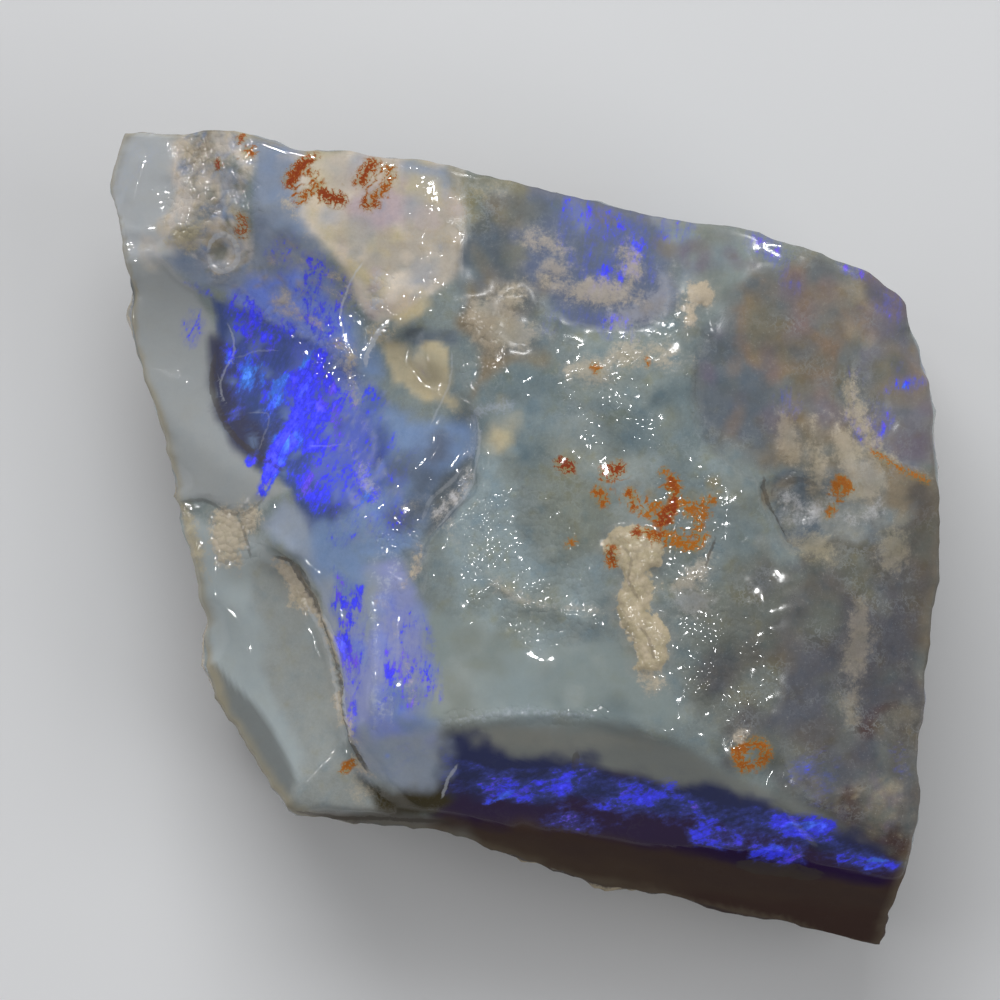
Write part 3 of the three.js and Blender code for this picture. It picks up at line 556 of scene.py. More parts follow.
# Opaque clay on and in the stone: name, tone from 0 (tan) to 1 (white), cover from 0 to 1, and shape.
CLAYS = [
    ("vein", 0.24, 1.0,
     area((607, 547), (612, 535), (626, 529), (642, 532), (656, 540), (656, 562), (648, 570), (655, 582),
          (650, 602), (645, 612), (655, 620), (661, 632), (667, 648), (669, 662), (660, 673), (645, 674),
          (637, 668), (641, 655), (635, 640), (628, 625), (614, 610), (611, 590), (619, 575), (615, 560))),
    ("vein foot", 0.4, 0.7, streak(0.35, (640, 670), (655, 682), (648, 690))),
    ("crumbs upper", 0.8, 0.75, streak(-0.14, (468, 476), (459, 492), (446, 503), (436, 514))),
    ("crumbs branch", 0.7, 0.7, streak(-0.14, (452, 494), (438, 493), (424, 500), (408, 508))),
    ("crumbs middle", 0.55, 0.75, streak(-0.1, (436, 512), (430, 528), (419, 545))),
    ("crumbs lower", 0.45, 0.85, streak(0.2, (420, 545), (415, 565), (405, 586))),
    ("crumbs foot", 0.45, 0.8, streak(0.16, (420, 568), (410, 580))),
    ("top fleck left", 0.55, 0.5, spot(535, 240, 1.0, 0.5, -20)),
    ("top fleck low left", 0.5, 0.45, spot(555, 268, 1.0, 0.5, -10)),
    ("top fleck middle", 0.55, 0.55, spot(590, 288, 1.5, 0.4, -10)),
    ("top fleck right", 0.5, 0.55, spot(633, 264, 0.35, 0.7)),
    ("top fleck web", 0.8, 0.25,
     area((640, 290), (676, 262), (678, 320), (655, 330), (610, 325), (600, 310))),
    ("top fleck lone", 0.55, 0.9, spot(699, 293, 0.5, 0.5)),
    ("top fleck lone cream", 0.6, 0.9, spot(690, 320, 0.35, 0.6)),
    ("top fleck low", 0.5, 0.5, spot(508, 300, 0.9, 0.5, 30)),
    ("upper crumbs", 0.45, 0.35,
     area((470, 300), (500, 300), (540, 330), (530, 350), (490, 345), (470, 325))),
    ("cream edge crumbs", 0.5, 0.8, streak(0.3, (328, 272), (342, 284), (350, 298))),
    ("cream edge flecks", 0.4, 0.7, streak(-0.05, (285, 200), (302, 228), (325, 258))),
    ("haze flecks", 0.3, 0.6, streak(-0.12, (270, 262), (292, 285), (320, 305))),
    ("haze flecks right", 0.3, 0.6, streak(-0.08, (300, 262), (318, 280), (338, 300))),
    ("haze flecks low", 0.3, 0.6, streak(-0.12, (282, 300), (300, 316), (325, 325))),
    ("fire crumbs", 0.4, 0.8, streak(0.12, (336, 341), (347, 349), (351, 360))),
    ("fire crumbs low", 0.5, 0.5, streak(-0.06, (345, 362), (353, 385), (356, 402))),
    ("fire dust", 0.9, 0.35, streak(0.0, (362, 420), (374, 440), (384, 468))),
    ("fire dust low", 0.9, 0.35, streak(0.0, (350, 445), (362, 470), (376, 500))),
    ("strip flecks", 0.6, 0.5, streak(-0.12, (380, 600), (400, 640), (412, 700))),
    ("plateau flecks", 0.6, 0.35, streak(-0.16, (470, 560), (520, 600), (600, 610))),
    ("plateau flecks left", 0.6, 0.35, streak(-0.16, (448, 520), (470, 560), (500, 585))),
    ("wedge band", 0.6, 0.45,
     area((700, 538), (714, 536), (712, 560), (702, 578), (680, 590), (672, 586), (690, 572), (700, 556))),
    ("tan patch", 0.1, 0.35,
     area((385, 350), (400, 342), (410, 354), (444, 352), (450, 392), (464, 402), (462, 416), (446, 408),
          (426, 394), (400, 378))),
    ("tan island", 0.2, 0.7, spot(380, 330, 0.6, 0.4, 30)),
    ("upper khaki", 0.1, 0.35, spot(487, 190, 0.9, 0.5)),
    ("band left", 0.4, 0.48, spot(590, 368, 0.9, 0.5)),
    ("band middle", 0.45, 0.5, streak(0.45, (600, 362), (640, 352), (680, 352))),
    ("band right", 0.45, 0.55, spot(660, 362, 0.9, 0.4)),
    ("ring", 0.6, 0.85,
     streak(0.14, (218, 234), (230, 237), (238, 249), (235, 262), (224, 270), (211, 268))),
    ("crumb crescent", 0.95, 0.9, streak(0.18, (181, 192), (186, 200), (181, 208))),
    ("crumb row", 0.5, 0.6, streak(0.2, (178, 140), (196, 165), (200, 195), (208, 225))),
    ("crumb patch", 0.4, 0.3, area((190, 130), (235, 132), (240, 160), (215, 175), (192, 160))),
    ("crumb olive", 0.05, 0.7, spot(186, 232, 0.7, 0.4, 10)),
    ("vein line", 0.3, 0.6, streak(0.25, (852, 375), (856, 405), (872, 440), (900, 462), (935, 478))),
    ("vein rib", 0.35, 0.5, streak(0.4, (815, 412), (812, 440), (820, 470), (812, 490))),
    ("vein rib left", 0.35, 0.4, streak(0.35, (782, 415), (790, 440), (800, 465))),
    ("vein rib right", 0.4, 0.5, streak(0.5, (835, 415), (845, 450), (862, 480), (880, 492))),
    ("vein patch", 0.35, 0.35, area((845, 455), (880, 460), (890, 490), (850, 500))),
    ("hollow swirl", 0.9, 0.5, streak(0.16, (790, 500), (805, 512), (825, 506), (832, 492))),
    ("hollow swirl low", 0.9, 0.4, streak(0.14, (782, 505), (800, 522), (826, 518))),
    ("hollow rim", 0.9, 0.4, streak(0.18, (835, 515), (862, 520), (880, 505), (872, 488))),
    ("olive lump", 0.1, 0.35, spot(815, 548, 1.0, 0.6, -20)),
    ("right side crumbs", 0.3, 0.25, streak(0.5, (862, 600), (855, 660), (850, 720))),
    ("right rim crumbs", 0.2, 0.3, spot(893, 545, 0.9, 1.2)),
    ("ledge crust top", 0.4, 0.9, area((262, 548), (285, 556), (292, 575), (286, 590), (272, 575))),
    ("ledge crust upper", 0.35, 0.9, streak(0.4, (282, 570), (300, 595), (312, 615))),
    ("ledge crust middle", 0.45, 0.9, streak(0.22, (312, 610), (326, 640), (334, 680), (340, 720))),
    ("ledge crust lower", 0.55, 0.8, streak(0.16, (342, 690), (348, 730), (362, 765), (375, 775))),
    ("left crumbs", 0.35, 0.8,
     area((210, 512), (235, 518), (250, 505), (262, 512), (248, 540), (240, 570), (222, 560), (210, 540))),
    ("tip crumbs", 0.3, 0.4, area((345, 768), (362, 775), (372, 792), (366, 806), (352, 800))),
    ("rim crust left", 0.1, 0.6, streak(0.35, (180, 505), (192, 545), (205, 590))),
    ("corner cream", 0.1, 0.05, area((835, 788), (868, 775), (915, 800), (912, 838), (850, 832))),
    ("edge cream", 0.1, 0.1, spot(905, 718, 1.0, 1.0)),
    ("cream by the rust", 0.6, 0.8, spot(738, 742, 0.3, 0.4)),
    ("pale lump", 0.8, 0.22, area((672, 590), (712, 580), (730, 596), (716, 612), (684, 612))),
]

# White haloes of frost and painted highlights on the wet stone: name, strength, half width in mm, and line.
FROSTS_AND_PAINTED_GLINTS = [
    ("ridge halo", 0.3, 0.25, ((119, 251), (160, 256), (175, 268), (190, 281), (212, 294))),
    ("ridge halo right", 0.3, 0.25,
     ((247, 296), (263, 314), (282, 324), (300, 331), (317, 338), (331, 353))),
    ("fluff upper", 0.5, 0.3, ((372, 286), (377, 278), (384, 272))),
    ("fluff middle", 0.9, 0.4, ((370, 310), (376, 302), (382, 296))),
    ("fluff arc", 0.8, 0.25, ((387, 322), (379, 332), (371, 345), (367, 356), (366, 367))),
    ("notch rim", 0.6, 0.35, ((462, 462), (474, 440), (472, 414), (484, 408), (520, 404))),
    ("loop", 1.0, 0.14,
     ((374, 556), (384, 550), (397, 560), (392, 574), (384, 585), (375, 572), (374, 556))),
    ("loop foot", 0.9, 0.14, ((384, 585), (386, 600), (380, 610))),
    ("ridge spark", 0.8, 0.2, ((458, 478), (464, 488), (460, 498))),
    ("strip crease", 0.7, 0.16, ((372, 590), (376, 640), (375, 700), (374, 738))),
    ("strip crease right", 0.8, 0.16, ((389, 696), (392, 712), (390, 728))),
    ("crest", 0.5, 0.2, ((440, 722), (470, 718), (540, 712), (600, 716))),
    ("top web", 0.4, 0.3, ((655, 262), (668, 290), (662, 320), (640, 335))),
    ("glass rim", 0.4, 0.3, ((135, 132), (128, 160), (112, 190))),
    # The glass dots and gleam are painted reflections of lamps.
    ("glass dots", 0.9, 0.1, ((108, 196), (116, 178), (128, 160), (142, 146))),
    ("glass dots right", 0.8, 0.08, ((113, 207), (125, 185), (139, 167), (152, 153))),
    ("glass gleam", 0.6, 0.4, ((147, 160), (152, 152), (156, 145))),
]

# Gritty places, where the wet surface sparkles: name, amount from 0 to 1, and shape.
GRITS = [
    ("corner", 0.75,
     area((180, 130), (262, 140), (266, 200), (262, 280), (215, 280), (165, 250), (165, 205))),
    ("fire edge", 1.0, streak(0.25, (240, 296), (262, 314), (300, 331), (331, 353))),
    ("fire top", 0.8, spot(318, 345, 1.0, 0.6, -20)),
    ("cream", 0.3, area((290, 150), (400, 155), (460, 180), (455, 240), (400, 300), (340, 260))),
    ("cream right", 0.36, area((425, 240), (455, 235), (450, 300), (420, 325), (400, 310))),
    ("foam", 1.0, spot(376, 300, 0.8, 1.6, -20)),
    ("gap", 1.0, area((455, 305), (500, 310), (510, 350), (480, 400), (455, 380))),
    ("upper right", 0.55, area((605, 205), (645, 215), (640, 250), (610, 245))),
    ("band", 0.7, streak(0.5, (560, 370), (600, 355), (660, 350))),
    ("ledge", 0.9, streak(0.4, (700, 330), (692, 390), (700, 440))),
    ("ledge top", 0.7, spot(655, 320, 1.2, 0.8)),
    ("plateau left", 1.0,
     area((440, 500), (500, 490), (560, 500), (590, 560), (600, 640), (540, 640), (470, 600))),
    ("plateau middle", 0.6, area((560, 380), (640, 380), (660, 450), (600, 470))),
    ("beside the vein", 0.9, area((655, 480), (720, 470), (735, 540), (720, 600), (670, 590))),
    ("low middle", 1.0, area((680, 620), (760, 600), (770, 680), (740, 720), (680, 700))),
    ("crest", 1.0, streak(0.3, (440, 722), (520, 714), (600, 714))),
    ("strip crease", 1.0, streak(0.15, (372, 590), (376, 640), (375, 700), (374, 738))),
    ("wedge", 0.9, area((200, 505), (262, 500), (255, 560), (225, 570))),
    ("notch", 0.9, area((385, 545), (440, 490), (475, 460), (475, 500), (420, 570), (395, 600))),
    ("fire middle", 0.9, spot(345, 374, 1.3, 0.6)),
    ("hollow", 0.6, area((770, 470), (860, 480), (850, 560), (790, 550))),
    ("lower right", 0.2, area((700, 700), (800, 640), (860, 700), (820, 800))),
]

# Rust: name, tone from 0 (orange) to 1 (dark red), half width in mm, and line.
RUSTS = [
    ("long streak", 0.5, 0.27, ((316, 150), (307, 159), (300, 168), (291, 179), (284, 188))),
    ("long streak side", 0.4, 0.16, ((312, 166), (304, 176))),
    ("diagonal", 0.35, 0.13, ((324, 180), (312, 190), (304, 196), (294, 204))),
    ("crescent", 0.6, 0.24, ((320, 188), (328, 196), (337, 200), (347, 193))),
    ("second streak", 0.5, 0.22, ((374, 153), (369, 165), (363, 175), (355, 185))),
    ("arc", 0.35, 0.14, ((386, 160), (391, 172), (387, 184), (379, 194), (366, 202))),
    ("arc foot", 0.5, 0.16, ((360, 200), (370, 203), (380, 201))),
    ("corner dot", 0.7, 0.2, ((215, 163), (222, 163))),
    ("corner dot right", 0.5, 0.16, ((238, 138), (244, 142))),
    ("corner blush", 0.3, 0.2, ((248, 146), (252, 156))),
    ("corner loop", 0.4, 0.1, ((233, 214), (242, 218), (244, 232), (234, 228))),
    ("plateau dash", 0.75, 0.22, ((556, 458), (566, 466), (576, 470))),
    ("plateau pair", 0.6, 0.22, ((600, 468), (612, 472), (624, 462))),
    ("main top", 0.3, 0.3, ((671, 474), (672, 484), (676, 497))),
    ("main body", 0.45, 0.4, ((675, 494), (674, 506), (666, 518), (660, 530))),
    ("main foot", 0.35, 0.22, ((664, 526), (658, 536), (650, 534), (640, 532))),
    ("main branch", 0.1, 0.16, ((678, 500), (690, 506), (700, 512), (706, 522))),
    ("main branch low", 0.05, 0.16, ((664, 530), (676, 542), (690, 546), (706, 538))),
    ("main left", 0.15, 0.14, ((662, 500), (652, 508), (646, 520))),
    ("main crown", 0.1, 0.14, ((666, 476), (662, 468))),
    ("orange web left", 0.3, 0.16, ((592, 488), (602, 496), (604, 508))),
    ("orange web dots", 0.35, 0.16, ((624, 490), (634, 498), (632, 512))),
    ("orange web", 0.1, 0.16, ((682, 514), (696, 508), (708, 500), (716, 506))),
    ("orange web low", 0.1, 0.16, ((670, 532), (684, 542), (698, 542), (710, 534))),
    ("orange web right", 0.15, 0.14, ((694, 512), (700, 524), (694, 538))),
    ("vein edge", 0.4, 0.18, ((614, 544), (612, 556), (614, 570))),
    ("vein head", 0.6, 0.18, ((632, 530), (642, 536))),
    ("yellow dots", 0.0, 0.2, ((570, 540), (574, 546))),
    ("band dots", 0.0, 0.18, ((592, 372), (600, 366))),
    ("band dots right", 0.0, 0.14, ((644, 362), (650, 362))),
    ("hollow rust", 0.0, 0.45, ((834, 480), (842, 484), (848, 478))),
    ("hollow rust low", 0.0, 0.26, ((828, 508), (836, 514))),
    ("low spot left", 0.2, 0.2, ((738, 744), (740, 762), (750, 772))),
    ("low spot right", 0.2, 0.18, ((742, 744), (760, 744), (766, 756), (754, 770))),
    ("tip rust", 0.05, 0.3, ((344, 764), (350, 772))),
    ("facet line", 0.1, 0.04, ((872, 448), (900, 468), (934, 482))),
]

# Thin seams in the stone: name, strength from -1 (dark) to 1 (pale), half width in mm, and line.
# The ledge and facet shadow rows are painted shadow, and the foam row is a painted highlight.
SEAMS = [
    ("hair", 0.9, 0.045, ((363, 261), (350, 282), (343, 300), (340, 318), (344, 336))),
    ("tan hair", 0.4, 0.04, ((452, 350), (450, 380), (440, 405), (430, 425))),
    ("potch hair", 0.5, 0.04,
     ((226, 322), (232, 336), (233, 354), (226, 366), (219, 382), (221, 394), (226, 403))),
    ("fire hair", 0.25, 0.03, ((234, 357), (250, 352), (262, 350), (277, 349))),
    ("fire hair low", 0.22, 0.03, ((246, 411), (264, 411), (268, 420), (262, 440), (258, 449))),
    ("fire hair right", 0.25, 0.028, ((308, 446), (325, 446), (342, 444))),
    ("rim arc", -0.7, 0.14, ((214, 350), (211, 384), (219, 412), (232, 434), (252, 452), (286, 472))),
    # Painted shadow along the ledge.
    ("ledge shadow", -1.0, 0.16,
     ((268, 556), (284, 564), (298, 584), (312, 608), (325, 634), (333, 668), (340, 710), (346, 735),
      (360, 760), (372, 774))),
    ("ledge shadow upper", -0.9, 0.2, ((290, 566), (300, 578), (306, 592))),
    ("ledge pale line", 0.7, 0.08, ((322, 612), (334, 640), (341, 680), (346, 720), (352, 744))),
    ("ledge pale line left", 0.5, 0.06, ((300, 604), (318, 640), (328, 680), (333, 715))),
    ("crumb border", -0.4, 0.08, ((178, 502), (200, 500), (228, 514), (246, 512), (262, 498))),
    ("crumb inner", -0.5, 0.06, ((236, 520), (246, 540), (250, 560))),
    ("plateau line", 0.4, 0.08, ((474, 414), (480, 436), (476, 462), (464, 492), (432, 530))),
    ("plateau line left", 0.35, 0.07, ((462, 466), (450, 482), (430, 500), (420, 520))),
    ("hollow wall", -0.7, 0.1, ((764, 476), (772, 500), (784, 522), (794, 540))),
    ("hollow floor", -0.4, 0.14, ((784, 486), (800, 480), (818, 486))),
    # Painted shadow along the facet edge.
    ("facet shadow", -0.2, 0.1, ((850, 350), (852, 400), (868, 440), (900, 468), (930, 484))),
    ("tip crack", 0.8, 0.07, ((458, 763), (448, 780), (442, 798))),
    ("lens", -0.8, 0.3, ((735, 864), (780, 872), (826, 876))),
    ("vein crack", -0.4, 0.06, ((622, 545), (632, 560), (630, 580), (640, 600))),
    ("vein crack low", -0.4, 0.06, ((640, 625), (650, 640), (655, 660))),
    ("wedge crack", -0.8, 0.06, ((716, 538), (710, 552), (705, 566))),
    # Painted highlight along the wet foam arc.
    ("foam", 0.9, 0.12, ((387, 322), (379, 332), (371, 345), (367, 356), (366, 367))),
    ("foot rim", -0.8, 0.09, ((292, 812), (340, 819), (400, 819), (455, 824))),
    ("pit ring", 1.0, 0.13,
     ((208, 252), (211, 240), (222, 233), (233, 238), (238, 250), (234, 263), (222, 269), (211, 264),
      (208, 254))),
    ("spikes", -0.6, 0.16, ((574, 770), (577, 752))),
]

# Steps in the surface: name, drop, width, reach and line, all in mm. The ground to the line's left, as it
# is walked, is lower.
STEPS = [
    ("plateau edge", 0.35, 0.4, 3.0,
     ((-6.1, -2.6), (-5.2, -1), (-4.6, 0.5), (-3, 2.2), (-2.4, 3.7), (-2.3, 5), (-2.8, 6.2), (-3.2, 6.8))),
    ("crack", 0.42, 0.6, 2.0,
     ((-7.7, -11.6), (-9, -9.8), (-9.4, -6.8), (-10.1, -4.1), (-11.4, -1.7), (-12.9, -0.4))),
    ("scoop rim", 0.12, 0.3, 2.5,
     ((-7.4, 7.4), (-9.4, 9.1), (-11.2, 10.3), (-13, 11.3), (-14.6, 12.7), (-16.2, 12.3), (-17.4, 13),
      (-18.4, 14.2), (-20.4, 14.3))),
    ("corner facet", 0.12, 0.4, 2.0, ((-20.2, 14.4), (-18.2, 14.6), (-17.4, 16.6), (-17.4, 18.4))),
    ("crumb border", 0.2, 0.25, 1.5, ((-12.9, 2.4), (-14.1, 1.4), (-15, 1.2), (-16, 1.9), (-17.6, 1.6))),
    ("right ledge", 0.24, 0.6, 3.0,
     ((8.9, 10.5), (8.6, 8.2), (8.4, 6.3), (8.9, 5), (10.8, 3.4), (12.3, 3))),
    ("hollow wall", 0.4, 0.3, 1.6, ((12.1, 3), (12.4, 1.8), (13.2, 0.2), (14, -0.6))),
    ("facet edge", 0.22, 0.5, 3.0, ((16.2, 8.8), (16.4, 6.4), (16.9, 5), (18.8, 3.6), (21, 2.9))),
    ("vein side", 0.15, 0.25, 1.2, ((4.3, 0.4), (4.4, -1.4), (4.3, -3))),
    ("crest bite", 0.3, 0.5, 3.0, ((15, -16), (13.6, -14.4), (12.6, -12.6), (13.2, -11.2))),
    ("edge notch", 0.2, 0.5, 1.2, ((21.4, 8.9), (20, 8.9), (19.4, 10.6))),
]

# Raised lines, which catch the light: name, rise, half width and line, all in mm.
RIDGES = [
    ("pit rim", 0.1, 0.17,
     ((-15.9, 14.3), (-15.7, 14.9), (-15.1, 15.15), (-14.5, 14.95), (-14.3, 14.3), (-14.5, 13.7),
      (-15.1, 13.45), (-15.7, 13.7), (-15.9, 14.2))),
    ("foam arc", 0.14, 0.2, ((-6.8, 10.9), (-7.3, 10.2), (-7.7, 9.5), (-7.9, 8.6))),
    ("glass rib", 0.08, 0.2, ((-19.8, 19.9), (-20.3, 18.6), (-20.7, 17.1))),
    ("glass rib inner", 0.08, 0.22, ((-19, 19.4), (-19.6, 18.1), (-20.1, 16.6))),
    ("glass rib low", 0.07, 0.25, ((-20.6, 15.6), (-19.4, 15.4), (-18.4, 15.6))),
    ("crest", 0.1, 0.35, ((-4.2, -9.6), (-2.1, -9.1), (0.4, -8.8), (3, -8.9), (5.6, -9.5), (7.4, -10.5))),
    ("strip crease", 0.16, 0.25, ((-7.5, -2.4), (-7.4, -6), (-7.6, -8.2), (-7.5, -9.8))),
    ("middle shelf", 0.2, 0.5, ((-1, -3.1), (1, -3.4), (3.2, -4), (4.6, -4.2))),
    ("middle shelf left", 0.16, 0.4, ((-2.2, -1.8), (-0.6, -2.4), (1.6, -2.2))),
    ("wedge", 0.2, 0.4, ((-12.9, 0.4), (-12.2, -0.5), (-11.2, -1))),
    ("upper ripple", 0.2, 0.35, ((-5.2, 13), (-5.6, 11.6), (-6.2, 10.6), (-6.8, 9.4))),
    ("right ripple", 0.16, 0.4, ((9.2, 2.6), (8.8, 0.6), (9.2, -1.2))),
    ("lower right ripple", 0.2, 0.6, ((10.4, -4), (9.4, -6), (9.8, -8.2))),
]

# Rounded beads of the wet surface, or dents where they fall: x, y, radius and rise in mm.
BEADS = [
    (-15.1, 14.35, 0.5, -0.22), (-15.9, 14.5, 0.3, 0.12), (-14.3, 14.6, 0.3, 0.12), (-15, 13.5, 0.4, 0.1),
    (-17.2, 16.9, 0.3, -0.12), (-16, 18.2, 0.35, -0.12), (-15.4, 16.6, 0.3, -0.1), (-14.3, 18.3, 0.6, 0.2),
    (-12.4, 15.4, 0.35, 0.16), (-11, 12.9, 0.35, 0.14), (-9.3, 15.2, 0.3, 0.1), (-4.6, 12.2, 0.3, 0.16),
    (-4.9, 11.2, 0.3, 0.12), (-5.6, 3.4, 0.3, 0.12), (-12.5, -0.3, 0.35, 0.12), (-11.9, -0.6, 0.3, 0.12),
    (-3.4, 16.9, 0.6, -0.15), (1.2, -4.8, 0.9, -0.1), (2.6, 6.8, 0.8, -0.12), (6.4, 6.4, 1.0, -0.15),
    (-0.6, 1.2, 0.9, -0.15), (10.4, -0.8, 0.8, -0.15), (8.2, -3.4, 0.8, -0.15), (11.4, -6.8, 0.8, -0.2),
    (14.4, 1.4, 0.7, -0.3), (-16.4, -6, 0.6, -0.25), (-14.4, -2.4, 0.8, -0.15), (-19.9, 12.4, 0.6, -0.25),
    (-1.8, 13.4, 0.8, -0.15), (16.8, -10.6, 0.9, -0.2), (3.4, 10.2, 0.9, -0.12), (-17, 0.8, 0.5, -0.2),
    (-18.2, 13.9, 0.2, 0.06), (-16.9, 13, 0.2, 0.06), (-14.6, 12.1, 0.2, 0.07), (-13.8, 11.6, 0.2, 0.07),
    (-12.8, 11, 0.2, 0.07), (-11.9, 10.6, 0.2, 0.07), (-11, 10.2, 0.2, 0.07), (-10, 9.7, 0.2, 0.07),
    (1.9, -4, 0.5, 0.12), (-0.8, -3, 0.5, 0.12), (-2.5, -3, 0.6, 0.1), (9.6, -1.4, 0.6, 0.16),
    (10, -6.4, 0.5, 0.16), (8.7, 12.2, 0.5, 0.2), (8.3, 10.8, 0.5, 0.2), (2, 1, 0.7, 0.12),
    (-2.6, 10.8, 0.5, 0.12), (14.6, -0.6, 0.8, 0.2), (9.3, -2.4, 0.9, 0.16), (6.4, 7.4, 0.25, 0.08),
    (7, 7.4, 0.25, 0.08), (-1.9, 8.6, 0.4, 0.14), (5, 0.2, 0.4, 0.12), (5.6, -0.4, 0.5, 0.14),
]


def colour(name, description, red, green, blue):
    """A colour that the user can change."""
    shade = (red / 255, green / 255, blue / 255)
    return bpy.props.FloatVectorProperty(
        name=name, description=description, subtype="COLOR_GAMMA", size=3, min=0, max=1, default=shade
    )


def share(name, description, default, most=1.0):
    """A number from 0 up that the user can change."""
    return bpy.props.FloatProperty(name=name, description=description, min=0, max=most, default=default)


def length(name, description, millimetres, least=0.0):
    """A length or place that the user can change."""
    return bpy.props.FloatProperty(
        name=name, description=description, subtype="DISTANCE", unit="LENGTH", min=least * MM,
        default=millimetres * MM, precision=5,
    )


class OpalColours(bpy.types.PropertyGroup):
    """Colours of the stone."""

    centre: colour("Centre", "Grey-green potch of the middle", 122, 132, 132)
    potch: colour("Potch", "Plain grey potch of the upper scoop", 151, 155, 156)
    khaki: colour("Khaki", "Greenish-brown potch", 122, 121, 104)
    khaki_dark: colour("Dark khaki", "Dark greenish-brown potch", 98, 102, 94)
    grey_dark: colour("Dark grey", "Shaded dips of the face", 98, 106, 106)
    centre_khaki: colour("Brownish centre", "Brown-grey cloud of the middle", 120, 126, 118)
    tan_light: colour("Light tan", "Tan clouds in the cream clay", 184, 173, 144)
    pit: colour("Pit", "Floor of the round pit", 136, 134, 122)
    blue_green: colour("Blue green", "Cool potch at the lower right", 111, 115, 110)
    centre_milk: colour("Centre milk", "Pale cloud in the smooth potch", 152, 160, 158)
    milk_grey: colour("Milk grey", "Milky grey of the right side", 132, 136, 134)
    milk_brown: colour("Milk brown", "Warm pale shoulder below the crest", 133, 135, 129)
    glass_dull: colour("Dull glass", "Clear grey beside the strip", 143, 153, 169)
    cream_grey: colour("Grey cream", "Greyish clay under the surface", 172, 164, 152)
    right_blue_low: colour("Low right blue", "Blue-grey streaks at the lower right", 82, 84, 92)
    foot_grey: colour("Foot grey", "Paler grey of the front foot", 104, 102, 98)
    # Painted shade and painted dark reflection on the foot's bevel.
    foot_warm_painted_shade: colour("Warm foot", "Brown-grey bevel of the front foot", 66, 48, 42)
    potch_cool: colour("Cool potch", "Plain grey potch of the lower scoop", 156, 165, 167)
    potch_dusty: colour("Dusty potch", "Potch with clay dust on it", 145, 150, 148)
    glass: colour("Glassy grey", "Clear pale grey of the corner", 184, 188, 191)
    matrix: colour("Matrix", "Crumbly brown-grey matrix", 204, 195, 186)
    haze: colour("Haze", "Blue-grey haze above the fire", 130, 141, 160)
    cream: colour("Cream", "Cream clay under the surface", 207, 196, 182)
    pink_clay: colour("Pink clay", "Pink cast in the clay", 180, 164, 168)
    tan: colour("Tan", "Tan clay", 158, 146, 124)
    tan_dark: colour("Dark tan", "Tan clay in the shade of the stone", 130, 118, 98)
    fire_ground: colour("Fire ground", "Dark body under the fire", 62, 78, 128)
    mid_blue: colour("Mid blue", "Milky blue over the fire", 114, 138, 222)
    slate_blue: colour("Slate blue", "Blue-grey beside the fire", 118, 141, 178)
    lavender: colour("Lavender", "Lavender strip", 139, 147, 192)
    deep_blue: colour("Deep blue", "Dark blue in the strip", 115, 133, 174)
    pale_centre: colour("Pale centre", "Smooth pale potch", 131, 142, 141)
    grey_green: colour("Grey green", "Cloudy grey-green potch", 139, 153, 157)
    blue_grey: colour("Blue grey", "Blue-grey potch of the plateau", 106, 120, 124)
    slate: colour("Slate", "Dark slate grey", 90, 98, 106)
    top_blue: colour("Top blue", "Blue at the upper edge", 95, 105, 130)
    right_dark: colour("Right dark", "Clear dark grey on the right", 113, 115, 113)
    right_blue: colour("Right blue", "Clear blue-grey on the right", 97, 105, 113)
    right_brown: colour("Right brown", "Brown cloud on the right", 134, 116, 100)
    lilac: colour("Lilac", "Lilac cast at the right rim", 112, 102, 118)
    lilac_blue: colour("Lilac blue", "Clear lilac-blue facet", 115, 114, 122)
    hollow: colour("Hollow", "Dark hollow on the right", 98, 108, 117)
    right_grey: colour("Right grey", "Grey of the right side", 94, 92, 84)
    # Dark grey of the lower right side, darkened by painted shadow.
    right_deep_painted_shadow: colour("Deep right", "Dark grey of the lower right side", 84, 83, 88)
    # Grey of the bevel, darkened as painted shade where it turns away from the light.
    bevel: colour("Bevel", "Grey of the facet below the lower scoop", 112, 117, 117)
    right_warm: colour("Right warm", "Warm grey of the right rim", 92, 86, 80)
    # Cream clay darkened by painted shadow.
    cream_painted_shadow: colour("Dark cream", "Cream clay in the lower corner", 70, 44, 42)
    under_crest: colour("Under the crest", "Smooth potch below the crest", 121, 125, 122)
    dark_slope: colour("Dark slope", "Near-black front slope", 42, 24, 62)
    # Painted shade and painted dark reflection on the lower front slope.
    slope_brown_painted_shade: colour("Slope brown", "Brown-grey lower part of the front slope", 68, 53, 47)
    fire_milk: colour("Fire milk", "Milky veil over the right part of the fire", 92, 108, 188)
    front_haze: colour("Front haze", "Blue above the fire of the front slope", 37, 44, 86)
    fire_shade: colour("Fire shade", "Shaded wall beside the fire", 62, 64, 88)
    olive: colour("Olive", "Olive tip", 54, 46, 17)
    # Painted shade and painted dark reflection on the front foot.
    front_foot_painted_shade: colour("Front foot", "Dark brown foot of the front", 74, 59, 49)
    crust: colour("Crust", "Brown crust of the sides and back", 118, 104, 86)
    crust_dark: colour("Dark crust", "Dark stain in the crust", 78, 68, 58)
    fire_violet: colour("Violet fire", "Violet flashes", 118, 88, 238)
    fire_blue: colour("Blue fire", "Electric blue flashes", 66, 70, 255)
    fire_cyan: colour("Cyan fire", "Cyan flashes", 72, 124, 228)
    fire_deep: colour("Deep fire", "Soft blue between the flashes", 80, 94, 208)
    clay_tan: colour("Tan clay", "Opaque tan clay", 172, 161, 130)
    clay: colour("Clay", "Opaque cream clay", 188, 174, 152)
    clay_white: colour("White clay", "Opaque lilac-white clay", 196, 196, 202)
    clay_grey: colour("Grey clay", "Dust of clay in the stone", 158, 156, 148)
    milk: colour("Milk", "Whitish wisps", 160, 168, 172)
    cool: colour("Cool cast", "Bluish clouds", 226, 241, 255)
    warm: colour("Warm cast", "Brownish clouds", 255, 243, 214)
